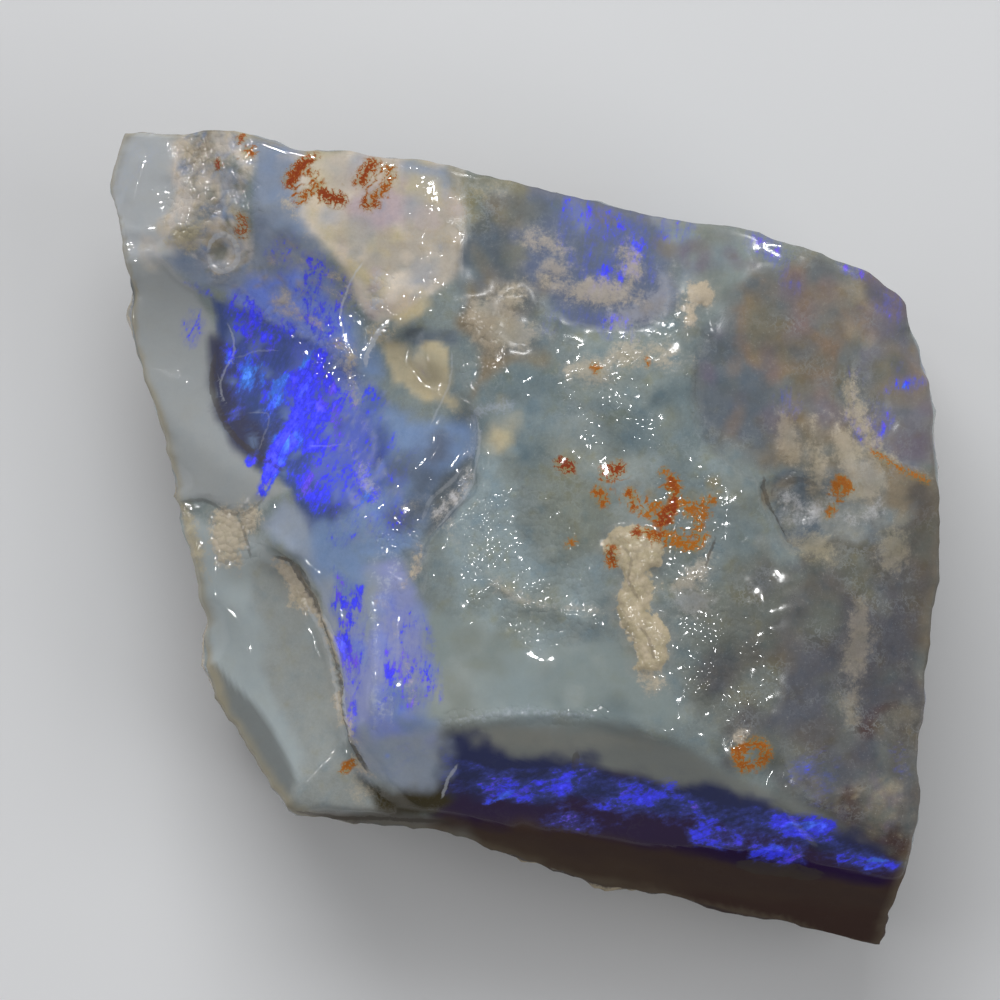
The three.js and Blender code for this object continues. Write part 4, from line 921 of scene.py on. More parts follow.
    # Frost colour, also used for painted highlights and lamp reflections.
    frost_and_painted_glint: colour("Frost", "White haloes on the wet stone", 184, 192, 208)
    rust: colour("Rust", "Dark red rust", 134, 44, 4)
    rust_dust: colour("Rust dust", "Faint stain round the rust", 146, 124, 62)
    ochre: colour("Ochre", "Orange rust", 170, 98, 16)
    # Pale seam colour, which also paints the highlight on the foam arc.
    crack_and_painted_highlight: colour("Pale seam", "Healed hair cracks", 196, 200, 206)
    # Dark seam colour, which also paints the shadow lines along the ledge and facet.
    crack_and_painted_shadow: colour("Dark seam", "Open cracks", 70, 64, 58)
    # Painted glow of light let through the thin west rim, laid into the colour.
    rim_glow_painted: colour("Warm rim", "Thin edges that let light through", 146, 138, 116)


class OpalSurface(bpy.types.PropertyGroup):
    """Shape and gloss of the stone's surface."""

    refine: bpy.props.IntProperty(
        name="Refine", description="Times that the model's faces are divided", min=1, max=3, default=2
    )
    lumps: length("Lumps", "Rise of the lumps in rough ground", 0.17)
    bumps: length("Bumps", "Rise of the small bumps in rough ground", 0.03)
    swell: length("Swell", "Rise of the gentle unevenness everywhere", 0.05)
    scallops: length("Scallops", "Depth of the shell-like chips in the walls", 0.4)
    crumbs: length("Crumbs", "Rise of the crumbs in clay", 0.07)
    vein: length("Vein", "Rise of the thick clay", 0.26)
    chips: length("Chips", "Depth of the chips along the outline", 0.45)
    gloss: share("Gloss", "Roughness of clean opal", 0.04)
    dullness: share("Dullness", "Roughness added by clay and crust", 0.45)
    film: share("Wet film", "Strength of the wet stone's mirror images", 0.8)
    # The glow is painted light: the fire's flashes give off light of their own, though they are no lamp.
    glow: share("Glow", "Light given back by the fire", 0.3, 5)


class OpalStage(bpy.types.PropertyGroup):
    """Floor, light and camera."""

    picture: length("Picture", "Width of what the camera sees", 50)
    distance: length("Distance", "From the camera to the face of the stone", 2000)
    centre_x: length("Centre X", "Middle of the picture, from left to right", -1.2, -100)
    centre_y: length("Centre Y", "Middle of the picture, from near to far", 1.9, -100)
    floor: colour("Floor", "Pale floor", 214, 215, 217)
    sky: share("Sky", "Strength of the light from all round", 0.2, 10)
    soft: share("Soft light", "Power of the soft lamps, in watts", 1.36, 100)
    sparks: share("Sparks", "Power of each small lamp, in watts", 0.042, 100)


def linear(shade):
    """A screen colour as scene light."""
    return np.array([c / 12.92 if c <= 0.04045 else ((c + 0.055) / 1.055) ** 2.4 for c in shade])


def ease(low, high, values):
    """Rises smoothly from 0 at low to 1 at high."""
    t = np.clip((values - low) / (high - low), 0, 1)
    return t * t * (3 - 2 * t)


def fade_ends(along, part):
    """1 along a line, with a smooth fall to 0 over a part of it at each end."""
    return ease(0, part, along) * ease(1, 1 - part, along)


def lay(values, new, mask):
    """Lays a new value or colour over what the points have, as far as a mask from 0 to 1 says."""
    mask = mask[:, None] if values.ndim > 1 else mask
    values += mask * (new - values)


def scatter(i, j, k, seed):
    """A repeatable number from -1 to 1 for each corner of the noise lattice."""
    mixed = sum(part * prime for part, prime in zip((i, j, k, seed), PRIMES)) & WORD
    mixed = ((mixed ^ (mixed >> 13)) * PRIMES[3]) & WORD
    return ((mixed ^ (mixed >> 16)) & 0xFFFF) / 32767.5 - 1


def noise(points, size, seed, octaves):
    """Smooth noise of about -1 to 1, with lumps of a size in mm."""
    total = np.zeros(len(points))
    for octave in range(octaves):
        place = points * (2**octave / size)
        corner = np.floor(place).astype(np.int64)
        part = place - corner
        part = part * part * (3 - 2 * part)
        value = 0
        for step in np.ndindex(2, 2, 2):
            weight = np.abs(1 - np.array(step) - part).prod(axis=1)
            value = value + weight * scatter(*(corner + step).T, seed + octave)
        total += value * 0.5**octave
    return total


def bowls(points, size, seed):
    """Shallow shell-like bowls that meet at sharp ridges, from 0 in a bowl to about 1 on a ridge."""
    place = points / size
    corner = np.floor(place).astype(np.int64)
    nearest = np.full(len(points), np.inf)
    for step in np.ndindex(3, 3, 3):
        cell = corner + step - 1
        jitter = np.stack([scatter(*cell.T, seed + n) for n in range(3)], axis=1)
        seat = cell + 0.5 + 0.45 * jitter
        nearest = np.minimum(nearest, ((place - seat) ** 2).sum(axis=1))
    return nearest


def read_points(mesh):
    """A mesh's points and their normals, in mm."""
    points = np.empty(len(mesh.vertices) * 3)
    normals = np.empty(len(mesh.vertices) * 3)
    mesh.vertices.foreach_get("co", points)
    mesh.vertices.foreach_get("normal", normals)
    return points.reshape(-1, 3) / MM, normals.reshape(-1, 3)


def divided_copy(source, times):
    """A finely divided copy of the model's mesh, rounded except along its sharp edges."""
    form = bmesh.new()
    form.from_mesh(source.data)
    bmesh.ops.remove_doubles(form, verts=form.verts, dist=0.001 * MM)
    bmesh.ops.join_triangles(
        form, faces=form.faces, angle_face_threshold=math.radians(FLAT_ANGLE),
        angle_shape_threshold=math.radians(SKEW_ANGLE),
    )
    crease = form.edges.layers.float.new("crease_edge")
    for edge in form.edges:
        sharp = len(edge.link_faces) == 2 and edge.calc_face_angle() > math.radians(CRISP_ANGLE)
        edge[crease] = CRISPNESS if sharp else 0
    mesh = bpy.data.meshes.new(PIECE)
    form.to_mesh(mesh)
    form.free()
    stone = bpy.data.objects.new(PIECE, mesh)
    bpy.context.scene.collection.objects.link(stone)
    divide = stone.modifiers.new("Divide", "SUBSURF")
    divide.levels = divide.render_levels = times
    fine = bpy.data.meshes.new_from_object(stone.evaluated_get(bpy.context.evaluated_depsgraph_get()))
    stone.modifiers.clear()
    stone.data = fine
    bpy.data.meshes.remove(mesh)
    return stone


class Ground:
    """What lies where on the stone, worked out once for its points before they are moved."""

    def __init__(self, points, normals):
        self.points = points
        self.plan = points[:, :2]
        self.upward = normals[:, 2]
        self.face = ease(0.08, 0.3, self.upward)
        self.back = ease(0.15, 0.5, -self.upward)
        self.side = np.clip(1 - self.face - self.back, 0, 1)
        self.wobbles = [noise(points, WOBBLE_SIZE, seed, 4) for seed in WOBBLE_SEEDS]
        self.inset = self.from_outline()

    def from_outline(self):
        """How far each point lies in from the stone's outline, as seen from above, in mm."""
        slots = 720
        angle = np.arctan2(self.plan[:, 1], self.plan[:, 0])
        slot = ((angle / math.tau) % 1 * slots).astype(int)
        radius = np.hypot(self.plan[:, 0], self.plan[:, 1])
        outline = np.zeros(slots)
        np.maximum.at(outline, slot, radius)
        outline = np.maximum.reduce([np.roll(outline, shift) for shift in (-1, 0, 1)])
        return outline[slot] - radius

    def wobble(self, index):
        """The wobble that a table's row of this number has."""
        return self.wobbles[index % len(self.wobbles)]

    def mask(self, index, shape, blur, wobble):
        """How far each point is inside a shape with a blurred, uneven border, from 0 to 1."""
        return ease(-blur / 2, blur / 2, shape.depth(self.plan) + wobble * self.wobble(index))


def lay_patches(ground, colours):
    """Colour, grain and dullness of the stone at each point, with a painted glow along the thin west rim.
    """
    count = len(ground.points)
    tint = np.tile(linear(colours.centre), (count, 1))
    grain = np.full(count, 0.5)
    dull = np.full(count, 0.3)
    for index, (_, shade, rough, matt, blur, wobble, shape) in enumerate(PATCHES):
        mask = ground.mask(index, shape, blur, wobble)
        lay(tint, linear(getattr(colours, shade)), mask)
        lay(grain, rough, mask)
        lay(dull, matt, mask)
    # Painted glow: a warm tint near the west outline stands in for light let through the thin rim.
    west = ease(-8, -13, ground.plan[:, 0])
    rim = ease(0.75, 0.1, ground.inset + 0.25 * ground.wobbles[3]) * (0.25 + 0.5 * west) * ground.face
    lay(tint, linear(colours.rim_glow_painted), rim)
    return tint, grain, dull


def lay_clouds(ground, colours, tint):
    """Lays small clouds of a few colours at random over parts of the face."""
    random = np.random.default_rng(CLOUD_SEED)
    for _, count, small, large, strength, shades, shape in CLOUDS:
        part = ease(0, 0.8, shape.depth(ground.plan) + 0.5 * ground.wobbles[1]) * ground.face
        places = ground.plan[part > 0.5]
        for index in range(count):
            wide = random.uniform(small, large)
            x, y = places[random.integers(len(places))]
            cloud = oval(x, y, wide, wide * random.uniform(0.4, 1), random.uniform(0, 180))
            shade = linear(getattr(colours, shades[random.integers(len(shades))]))
            lay(tint, shade, ground.mask(index, cloud, 0.9 * wide, 0.5 * wide) * part * strength)


def lay_sides(ground, colours, tint, grain, dull):
    """Colours the broken walls and the back, which have bands of potch, crust and dark stain."""
    x, y = ground.plan.T
    height = ground.points[:, 2] + 1.6 * ground.wobbles[0]
    crust, stain = linear(colours.crust), linear(colours.crust_dark)
    potch, cool = linear(colours.grey_green), linear(colours.slate)
    wall = np.tile(potch, (len(x), 1))
    lay(wall, cool, ease(-0.4, 0.7, ground.wobbles[1]))
    lay(wall, crust, ease(CRUST_TOP + 2.5, CRUST_TOP - 2.5, height) * ease(-0.7, 0.5, ground.wobbles[2]))
    lay(wall, stain, ease(0.35, 0.75, ground.wobbles[3]) * 0.7)
    back = np.tile(crust, (len(x), 1))
    lay(back, potch, ease(-0.1, 0.5, ground.wobbles[4]))
    lay(back, stain, ease(0.3, 0.8, ground.wobbles[2]) * 0.8)
    front = ease(FRONT_EDGE + 0.4, FRONT_EDGE - 0.4, y + FRONT_FALL * x)
    front *= ease(FRONT_LEFT - 1, FRONT_LEFT + 1, x)
    lay(tint, wall, ground.side * (0.85 - 0.7 * front))
    lay(tint, back, ground.back)
    grain += ground.side * (0.45 - grain) + ground.back * (0.8 - grain)
    wall_dull = 0.3 + 0.4 * ease(-2, 4, x)
    lay(wall_dull, 1, front)
    dull += ground.side * (wall_dull - dull) + ground.back * (0.7 - dull)
    lay(dull, 1, front * ease(0.82, 0.72, ground.upward))


def lay_fire(ground):
    """Strength and hue of the fire, and the place across and along its streaks, at each point."""
    count = len(ground.points)
    strength = np.zeros(count)
    hue = np.full(count, 0.4)
    for index, (_, power, tone, blur, wobble, shape) in enumerate(FIRES):
        glow = ground.mask(index, shape, blur, wobble) * power * ground.face
        lay(hue, tone, ease(-0.1, 0.1, glow - strength))
        strength = np.maximum(strength, glow)
    height = ground.points[:, 2] + 0.7 * ground.wobbles[1]
    bar = ease(*BAR_FOOT, height) * ease(*BAR_TOP, height) * ease(-0.3, 0.5, ground.wobbles[2])
    strength = np.maximum(strength, 0.5 * bar * ground.side)
    return strength, hue, streak_places(ground.points)


def streak_places(points):
    """Where points lie across and along the fire's streaks, and their height, in mm."""
    x, y, z = points.T
    west = np.where(y < STRIP_TOP, STRIP_TURN, SCOOP_TURN)
    turn = np.radians(np.where(y < FRONT_TOP, FRONT_TURN, np.where(x < WEST_END, west, TOP_TURN)))
    across = x * np.sin(turn) - y * np.cos(turn)
    along = x * np.cos(turn) + y * np.sin(turn)
    return np.stack([across, along, z], axis=1)


def lay_lines(ground, table):
    """Side distance to the nearest line of a table, and that line's tone, width and presence."""
    count = len(ground.points)
    nearest = np.full(count, MARGIN)
    side = np.full(count, MARGIN)
    tone = np.zeros(count)
    width = np.full(count, 0.05)
    presence = np.zeros(count)
    for _, shade, half_width, pixels in table:
        offset, along = line_sides(ground.plan, curve(places(pixels)))
        distance = np.abs(offset)
        closer = distance < nearest
        near = ease(half_width + 0.5, half_width + 0.25, distance)
        thin = np.sqrt(np.clip(6 * np.minimum(along, 1 - along), 0.12, 1))
        nearest = np.where(closer, distance, nearest)
        side = np.where(closer, offset, side)
        tone = np.where(closer, shade, tone)
        width = np.where(closer, half_width * thin, width)
        presence = np.where(closer, near * fade_ends(along, 0.05), presence)
    return side, tone, width, presence * ground.face


def lay_clay(ground):
    """Depth inside the opaque clay, in mm, below 0 outside it, with its tone and cover."""
    count = len(ground.points)
    outside = -1.5
    depth = np.full(count, outside)
    tone = np.full(count, 0.3)
    cover = np.full(count, 0.8)
    for index, (_, shade, hiding, shape) in enumerate(CLAYS):
        width = shape.high[0] - shape.low[0] - 2 * MARGIN
        inside = shape.depth(ground.plan) + 0.4 * ground.wobble(index) * ease(0.1, 0.5, width)
        deeper = inside > depth
        depth = np.where(deeper, inside, depth)
        tone = np.where(deeper, shade, tone)
        cover = np.where(deeper, hiding, cover)
    off_face = 1 - ground.face
    on_walls = (0.9 * ground.wobbles[3] - 0.35) * off_face
    depth = np.where(off_face > 0.5, on_walls, depth * ground.face + outside * off_face)
    return depth, tone, cover


def lay_grit(ground):
    """How gritty the wet surface is at each point, from 0 to 1."""
    grit = 0.3 - 0.2 * ground.face
    for index, (_, amount, shape) in enumerate(GRITS):
        grit = np.maximum(grit, amount * ground.mask(index, shape, 0.8, 0.6) * ground.face)
    return grit


def unevenness(ground, surface, grain, clay, cover):
    """Swells, lumps, crumbs and shell-like bowls, in mm."""
    points = ground.points
    rough = ease(0.12, 0.55, grain)
    thick = ease(0, 0.35, clay) * (cover > 0.95)
    walls = np.clip(ground.side + 0.6 * ground.back * ease(0.2, 1.5, points[:, 2]), 0, 1)
    out = surface.swell * noise(points, *SWELL, 2) * (0.3 + 0.7 * rough)
    out += surface.lumps * rough * noise(points, *LUMPS, 2)
    out += surface.bumps * rough * noise(points, *BUMPS, 2)
    out += surface.crumbs * ease(-0.1, 0.3, clay) * (0.8 + noise(points, *CRUMBS, 2))
    out += surface.vein * thick * (1 + 0.5 * noise(points, *VEIN_LUMPS, 2))
    wall_bowls = bowls(points, *WALL_BOWLS) + 0.5 * bowls(points, *SMALL_WALL_BOWLS)
    out += surface.scallops * walls * (wall_bowls - 0.6)
    out += surface.lumps * 0.4 * rough * ground.face * (bowls(points, *FACE_BOWLS) - 0.3)
    return out / MM


def small_forms(ground, grain):
    """The steps, ridges and beads of the tables, in mm."""
    out = np.zeros(len(ground.points))
    rough = ease(0.12, 0.55, grain)
    for _, drop, width, reach, line in STEPS:
        offset, along = line_sides(ground.plan, curve(line))
        offset = offset + (0.1 + 0.3 * rough) * ground.wobbles[0]
        fall = ease(-width / 2, width / 2, offset) * ease(reach, 0, np.abs(offset))
        out -= drop * fall * fade_ends(along, 0.12)
    for _, rise, width, line in RIDGES:
        offset, along = line_sides(ground.plan, curve(line))
        offset = offset + 0.15 * ground.wobbles[1]
        out += rise * np.exp(-((offset / width) ** 2)) * fade_ends(along, 0.2)
    for x, y, radius, rise in BEADS:
        away = np.hypot(ground.plan[:, 0] - x, ground.plan[:, 1] - y) / radius
        out += rise * np.exp(-(away**2))
    return out * ground.face


def rim_chips(ground, surface):
    """How far points near the outline move in towards the stone, in mm, as shell-like chips."""
    x, y = ground.plan.T
    angle = np.arctan2(y, x)
    around = [RIM_RADIUS * np.cos(angle), RIM_RADIUS * np.sin(angle), 0.35 * ground.points[:, 2]]
    around = np.stack(around, axis=1)
    chips = 1.2 * bowls(around, *RIM_BOWLS) + 0.5 * bowls(around, *SMALL_RIM_BOWLS)
    near = ease(1.3, 0.1, ground.inset) * ease(2, 5, ground.points[:, 2])
    west = 0.55 + 0.45 * ease(-6, -12, x)
    return surface.chips / MM * near * west * (np.clip(1.1 - chips, 0, 1) - 0.35)


def moved_points(ground, normals, surface, grain, clay, cover):
    """The points after relief and chips, in mm, kept inside the model's box and on its foot."""
    low, high = (np.array(corner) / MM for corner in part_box(NODE))
    rise = unevenness(ground, surface, grain, clay, cover) + small_forms(ground, grain)
    moved = ground.points + normals * rise[:, None]
    inward = ground.plan / np.maximum(np.hypot(*ground.plan.T), 1)[:, None]
    moved[:, :2] -= inward * rim_chips(ground, surface)[:, None]
    resting = ground.points[:, 2] < low[2] + FOOT_HEIGHT
    moved[resting] = ground.points[resting]
    return np.clip(moved, low, high)


def add_attribute(mesh, name, values):
    """Keeps a number, vector or colour for each point of a mesh."""
    kinds = {1: ("FLOAT", "value"), 3: ("FLOAT_VECTOR", "vector"), 4: ("FLOAT_COLOR", "color")}
    width = 1 if values.ndim == 1 else values.shape[1]
    kind, field = kinds[width]
    layer = mesh.attributes.new(name, kind, "POINT")
    layer.data.foreach_set(field, values.astype(np.float32).ravel())


class Wire:
    """A socket of a shader graph, for sums written as Python expressions."""

    def __init__(self, graph, socket):
        self.graph = graph
        self.socket = socket

    def __add__(self, other):
        return self.graph.sum("ADD", self, other)

    def __sub__(self, other):
        return self.graph.sum("SUBTRACT", self, other)

    def __rsub__(self, other):
        return self.graph.sum("SUBTRACT", other, self)

    def __mul__(self, other):
        return self.graph.sum("MULTIPLY", self, other)

    __radd__ = __add__
    __rmul__ = __mul__


class Graph:
    """Builds a material's nodes."""

    def __init__(self, material):
        material.use_nodes = True
        self.tree = material.node_tree
        self.tree.nodes.clear()

    def node(self, kind, settings=None, **inputs):
        """Adds a node, sets it up, fills its sockets and returns it."""
        node = self.tree.nodes.new("ShaderNode" + kind)
        for name, value in (settings or {}).items():
            setattr(node, name, value)
        for name, value in inputs.items():
            socket = self.socket(node, name)
            if isinstance(value, Wire):
                self.tree.links.new(value.socket, socket)
            else:
                socket.default_value = value
        return node

    @staticmethod
    def socket(node, name):
        """The input that is shown under a name, or the numbered one, as in in_0, among hidden twins."""
        if name.startswith("in_"):
            return node.inputs[int(name[3:])]
        wanted = name.replace("_", " ").lower()
        return next(s for s in node.inputs if s.name.lower() == wanted and s.enabled)

    def out(self, node, name):
        """One of a node's outputs."""
        return Wire(self, next(s for s in node.outputs if s.name == name and s.enabled))

    def sum(self, operation, first, second):
        """One step of a sum on two numbers."""
        node = self.node("Math", {"operation": operation}, in_0=first, in_1=second)
        return self.out(node, "Value")

    def ease(self, low, high, value):
        """Rises smoothly from 0 at low to 1 at high."""
        settings = {"interpolation_type": "SMOOTHSTEP"}
        node = self.node("MapRange", settings, Value=value, From_Min=low, From_Max=high)
        return self.out(node, "Result")

    def most(self, first, second):
        """The larger of two numbers."""
        return self.sum("MAXIMUM", first, second)

    def size(self, value):
        """A number without its sign."""
        return self.sum("ABSOLUTE", value, 0.0)

    def mix(self, first, second, share, blend="MIX"):
        """A colour between two, or the first seen through part of the second, as a filter."""
        settings = {"data_type": "RGBA", "blend_type": blend}
        return self.out(self.node("Mix", settings, Factor=share, A=first, B=second), "Result")

    def shade(self, colour, factor):
        """A colour times a number."""
        node = self.node("VectorMath", {"operation": "SCALE"}, in_0=colour, Scale=factor)
        return self.out(node, "Vector")

    def stretch(self, vector, x, y, z):
        """A vector with each of its parts times its own number."""
        node = self.node("VectorMath", {"operation": "MULTIPLY"}, in_0=vector, in_1=(x, y, z))
        return self.out(node, "Vector")

    def noise(self, vector, scale, detail, roughness):
        """Cloudy noise, mostly from -1 to 1."""
        node = self.node("TexNoise", Vector=vector, Scale=scale, Detail=detail, Roughness=roughness)
        return (self.out(node, "Fac") - 0.5) * 4.0

    def cells(self, vector, scale):
        """Distance in plan to the nearest of scattered points, and two random numbers for each point."""
        node = self.node("TexVoronoi", {"voronoi_dimensions": "2D"}, Vector=vector, Scale=scale)
        parts = self.node("SeparateColor", Color=self.out(node, "Color"))
        return self.out(node, "Distance"), self.out(parts, "Red"), self.out(parts, "Green")

    def attribute(self, name, output="Fac"):
        """What the mesh keeps under a name."""
        return self.out(self.node("Attribute", {"attribute_name": name}), output)


class Textures:
    """The noises and marks that several layers of the stone's material share."""

    def __init__(self, graph):
        place = graph.out(graph.node("TexCoord"), "Object")
        self.millimetres = graph.stretch(place, 1 / MM, 1 / MM, 1 / MM)
        self.clouds = graph.noise(self.millimetres, 0.45, 2, 0.55)
        self.mottle = graph.noise(self.millimetres, 1.7, 3, 0.65)
        self.speckle = graph.noise(self.millimetres, 6.5, 2, 0.6)
        self.dust = graph.noise(self.millimetres, 19, 1, 0.5)
        self.domes, self.luck, _ = graph.cells(self.millimetres, 3)
        self.grain = graph.attribute("grain")
        self.dull = graph.attribute("dull")
        self.clay = graph.attribute("clay")
        self.clay_cover = graph.attribute("clay_cover")


def rgba(shade):
    """A screen colour for a colour socket."""
    return (*linear(shade), 1.0)


def potch_nodes(graph, colours, textures):
    """The stone's plain body: its tint with warm and cool casts, clouds, wisps, crumbs and specks."""
    grain, clouds, mottle = textures.grain, textures.clouds, textures.mottle
    speckle, dust = textures.speckle, textures.dust
    cast = clouds * 0.5 + graph.noise(textures.millimetres, 1.05, 2, 0.6) * 0.75
    potch = graph.attribute("tint", "Color")
    for filter_colour, most in ((colours.warm, 0.9), (colours.cool, -0.9)):
        potch = graph.mix(potch, rgba(filter_colour), graph.ease(0, most, cast) * (grain + 0.1), "MULTIPLY")
    value = (
        1 + clouds * grain * 0.12 + mottle * (0.02 + grain * 0.15)
        + speckle * (0.01 + grain * 0.11) + dust * (0.006 + grain * 0.07)
    )
    potch = graph.shade(potch, value)
    wisp = graph.ease(0.22, 0, graph.size(mottle)) * graph.ease(-0.2, 0.8, clouds) * grain * 0.4
    crumb = graph.ease(0.6, 1.1, speckle + mottle * 0.5) * graph.ease(0.25, 1, grain) * 0.5
    speck = graph.ease(0.75, 1.2, dust + speckle * 0.35) * grain * 0.5
    potch = graph.mix(potch, rgba(colours.milk), wisp)
    potch = graph.mix(potch, rgba(colours.clay_grey), crumb)
    return graph.mix(potch, rgba(colours.milk), speck)


def fire_nodes(graph, colours, under):
    """Fire over the stone, and the painted glow that its flashes emit: torn plates of fine parallel
    streaks.
    """
    streaks = graph.attribute("streaks", "Vector")
    power = graph.attribute("fire")
    _, plate_light, plate_hue = graph.cells(graph.stretch(streaks, 2.4, 0.8, 1.2), 1)
    bands = graph.noise(graph.stretch(streaks, 4.6, 0.55, 1.5), 1, 3, 0.6)
    strands = graph.noise(graph.stretch(streaks, 1.9, 1.25, 1.2), 1, 4, 0.72)
    flakes = graph.noise(graph.stretch(streaks, 5.6, 3.4, 3), 1, 2, 0.6)
    drift = graph.noise(graph.stretch(streaks, 0.7, 0.45, 0.6), 1, 2, 0.6)
    presence = graph.ease(0.03, 0.25, power)
    torn = power + (plate_light - 0.5) * 0.3 + flakes * 0.22
    glow = graph.ease(0.05, 1.3, torn + drift * 0.3 + strands * 0.3 + bands * 0.22) * presence
    flash = torn + drift * 0.4 + strands * 0.4 + bands * 0.13
    peak = graph.ease(0.95, 1.5, flash)
    hue = graph.attribute("hue") + (plate_hue - 0.5) * 0.4 + drift * 0.25
    fire = graph.mix(rgba(colours.fire_violet), rgba(colours.fire_blue), graph.ease(0.05, 0.45, hue))
    fire = graph.mix(fire, rgba(colours.fire_cyan), graph.ease(0.6, 1, hue))
    fire = graph.shade(fire, 0.94 + bands * 0.09 + flakes * 0.14 + peak * 0.45)
    over = graph.mix(under, rgba(colours.fire_deep), glow * 0.72)
    over = graph.mix(over, fire, graph.ease(0.6, 0.98, flash) * presence)
    # The second result is the painted glow that the flashes emit.
    return over, graph.shade(fire, peak * presence)


def clay_nodes(graph, colours, textures, under):
    """Opaque clay in rounded lumps over a thin veil of it, and how far the clay covers the stone."""
    mottle, speckle, dust, cover = textures.mottle, textures.speckle, textures.dust, textures.clay_cover
    large_domes, _, _ = graph.cells(textures.millimetres, 1.8)
    lobes = large_domes * 0.6 + textures.domes * 0.4 + speckle * 0.07
    soft = graph.ease(1, 0.7, cover)
    fray = (mottle + speckle * 0.7 + dust * 0.3) * (0.1 + soft * 0.2)
    depth = textures.clay + fray + (0.42 - lobes) * 0.35
    clay = graph.ease(soft * -0.2 - 0.03, soft * 0.3 + 0.12, depth) * cover
    tone = graph.attribute("clay_tone") + mottle * 0.15
    shade = graph.mix(rgba(colours.clay_tan), rgba(colours.clay), graph.ease(0, 0.5, tone))
    shade = graph.mix(shade, rgba(colours.clay_white), graph.ease(0.55, 1, tone))
    thick = clay * graph.ease(0.94, 1, cover)
    creases = graph.ease(0.4, 0.7, lobes + mottle * 0.1) * (thick * 0.12 + 0.05)
    shade = graph.shade(shade, 1 + mottle * 0.07 + speckle * 0.08 + dust * 0.05 - creases)
    over = graph.mix(under, rgba(colours.clay_grey), graph.ease(-0.6, 0.3, depth) * cover * 0.45)
    return graph.mix(over, shade, clay), clay


def frost_and_painted_glint_nodes(graph, colours, textures, under):
    """White haloes of frost, and painted highlights and reflections, along the lines of their table."""
    gap = graph.size(graph.attribute("frost_and_painted_glint_side")) - graph.attribute("frost_and_painted_glint_width")
    gap = gap + textures.mottle * 0.3 + textures.speckle * 0.3
    frost_and_painted_glint = graph.ease(0.1, -0.5, gap) * graph.attribute("frost_and_painted_glint") * graph.attribute("frost_and_painted_glint_tone")
    return graph.mix(under, rgba(colours.frost_and_painted_glint), frost_and_painted_glint * 0.6)


def seam_nodes(graph, colours, textures, under):
    """Thin pale and dark seams, with painted shadow along the ledge and facet and a painted highlight on
    the foam arc.
    """
    mottle = textures.mottle
    tone = graph.attribute("seam_tone")
    gap = graph.size(graph.attribute("seam_side") + mottle * 0.06) - graph.attribute("seam_width")
    seam = graph.ease(0.04, -0.02, gap + textures.speckle * 0.02) * graph.attribute("seam")
    seam = seam * graph.ease(-1.3, -0.1, mottle)
    over = graph.mix(under, rgba(colours.crack_and_painted_highlight), seam * graph.most(tone, 0) * 0.55)
    return graph.mix(over, rgba(colours.crack_and_painted_shadow), seam * graph.most(tone * -1, 0) * 0.8)


def rust_nodes(graph, colours, textures, under):
    """Rust in fine branches, dark in its middle and orange at its border, with a faint stain round it."""
    presence = graph.attribute("rust")
    branches = graph.size(graph.noise(textures.millimetres, 2.8, 3, 0.6))
    side, width = graph.size(graph.attribute("rust_side")), graph.attribute("rust_width")
    gap = graph.most(side - width * 1.25, -0.3)
    halo = graph.ease(0.45, -0.1, gap + branches * 0.4) * presence * 0.75
    gap = gap * 0.8 + branches * 0.8 - 0.14 + textures.speckle * 0.1 + textures.dust * 0.08
    tone = graph.attribute("rust_tone") - gap * 1.2 + textures.speckle * 0.12
    shade = graph.mix(rgba(colours.ochre), rgba(colours.rust), graph.ease(0.2, 0.9, tone))
    over = graph.mix(under, rgba(colours.rust_dust), halo)
    return graph.mix(over, shade, graph.ease(0.03, -0.06, gap) * presence * 0.95)


def fine_relief(graph, textures):
    """Height in mm of what is too fine for the mesh: ripples, wet grit in small domes, and clay crumbs."""
    grain, domes = textures.grain, textures.domes
    ripple = graph.noise(textures.millimetres, 0.9, 0, 0.5)
    grit = graph.ease(0.25, 0.75, graph.attribute("grit") + ripple * 0.2)
    crumbly = graph.ease(-0.1, 0.15, textures.clay) * graph.ease(0.3, 1, textures.clay_cover)
    beads = domes * domes * (0.3 + textures.luck * 0.7) * (0.001 + grit * 0.05)
    return ripple * (0.001 + grain * 0.014) - beads - domes * crumbly * 0.04


def stone_material(colours, surface):
    """Wet broken opal: potch, fire, clay, frost, seams and rust, from the lowest layer to the top."""
    material = bpy.data.materials.new("wet_rough_opal")
    graph = Graph(material)
    textures = Textures(graph)
    layers = potch_nodes(graph, colours, textures)
    layers, light = fire_nodes(graph, colours, layers)
    layers, clay = clay_nodes(graph, colours, textures, layers)
    layers = frost_and_painted_glint_nodes(graph, colours, textures, layers)
    layers = seam_nodes(graph, colours, textures, layers)
    layers = rust_nodes(graph, colours, textures, layers)
    dull = textures.dull
    bump = graph.node("Bump", Strength=1, Distance=MM, Height=fine_relief(graph, textures))
    # The fire's painted glow goes to the emission.
    wet = graph.node(
        "BsdfPrincipled",
        Base_Color=layers,
        Roughness=surface.gloss + dull * dull * surface.dullness + clay * 0.1 + textures.dust * 0.02,
        IOR=1.46,
        Specular_IOR_Level=surface.film,
        Normal=graph.out(bump, "Normal"),
        Emission_Color=light,
        Emission_Strength=surface.glow,
    )
    matte = graph.out(graph.node("BsdfDiffuse", Color=layers), "BSDF")
    share = graph.ease(0.8, 1, dull) * 0.9
    both = graph.node("MixShader", Fac=share, in_1=graph.out(wet, "BSDF"), in_2=matte)
    graph.node("OutputMaterial", Surface=graph.out(both, "Shader"))
    return material


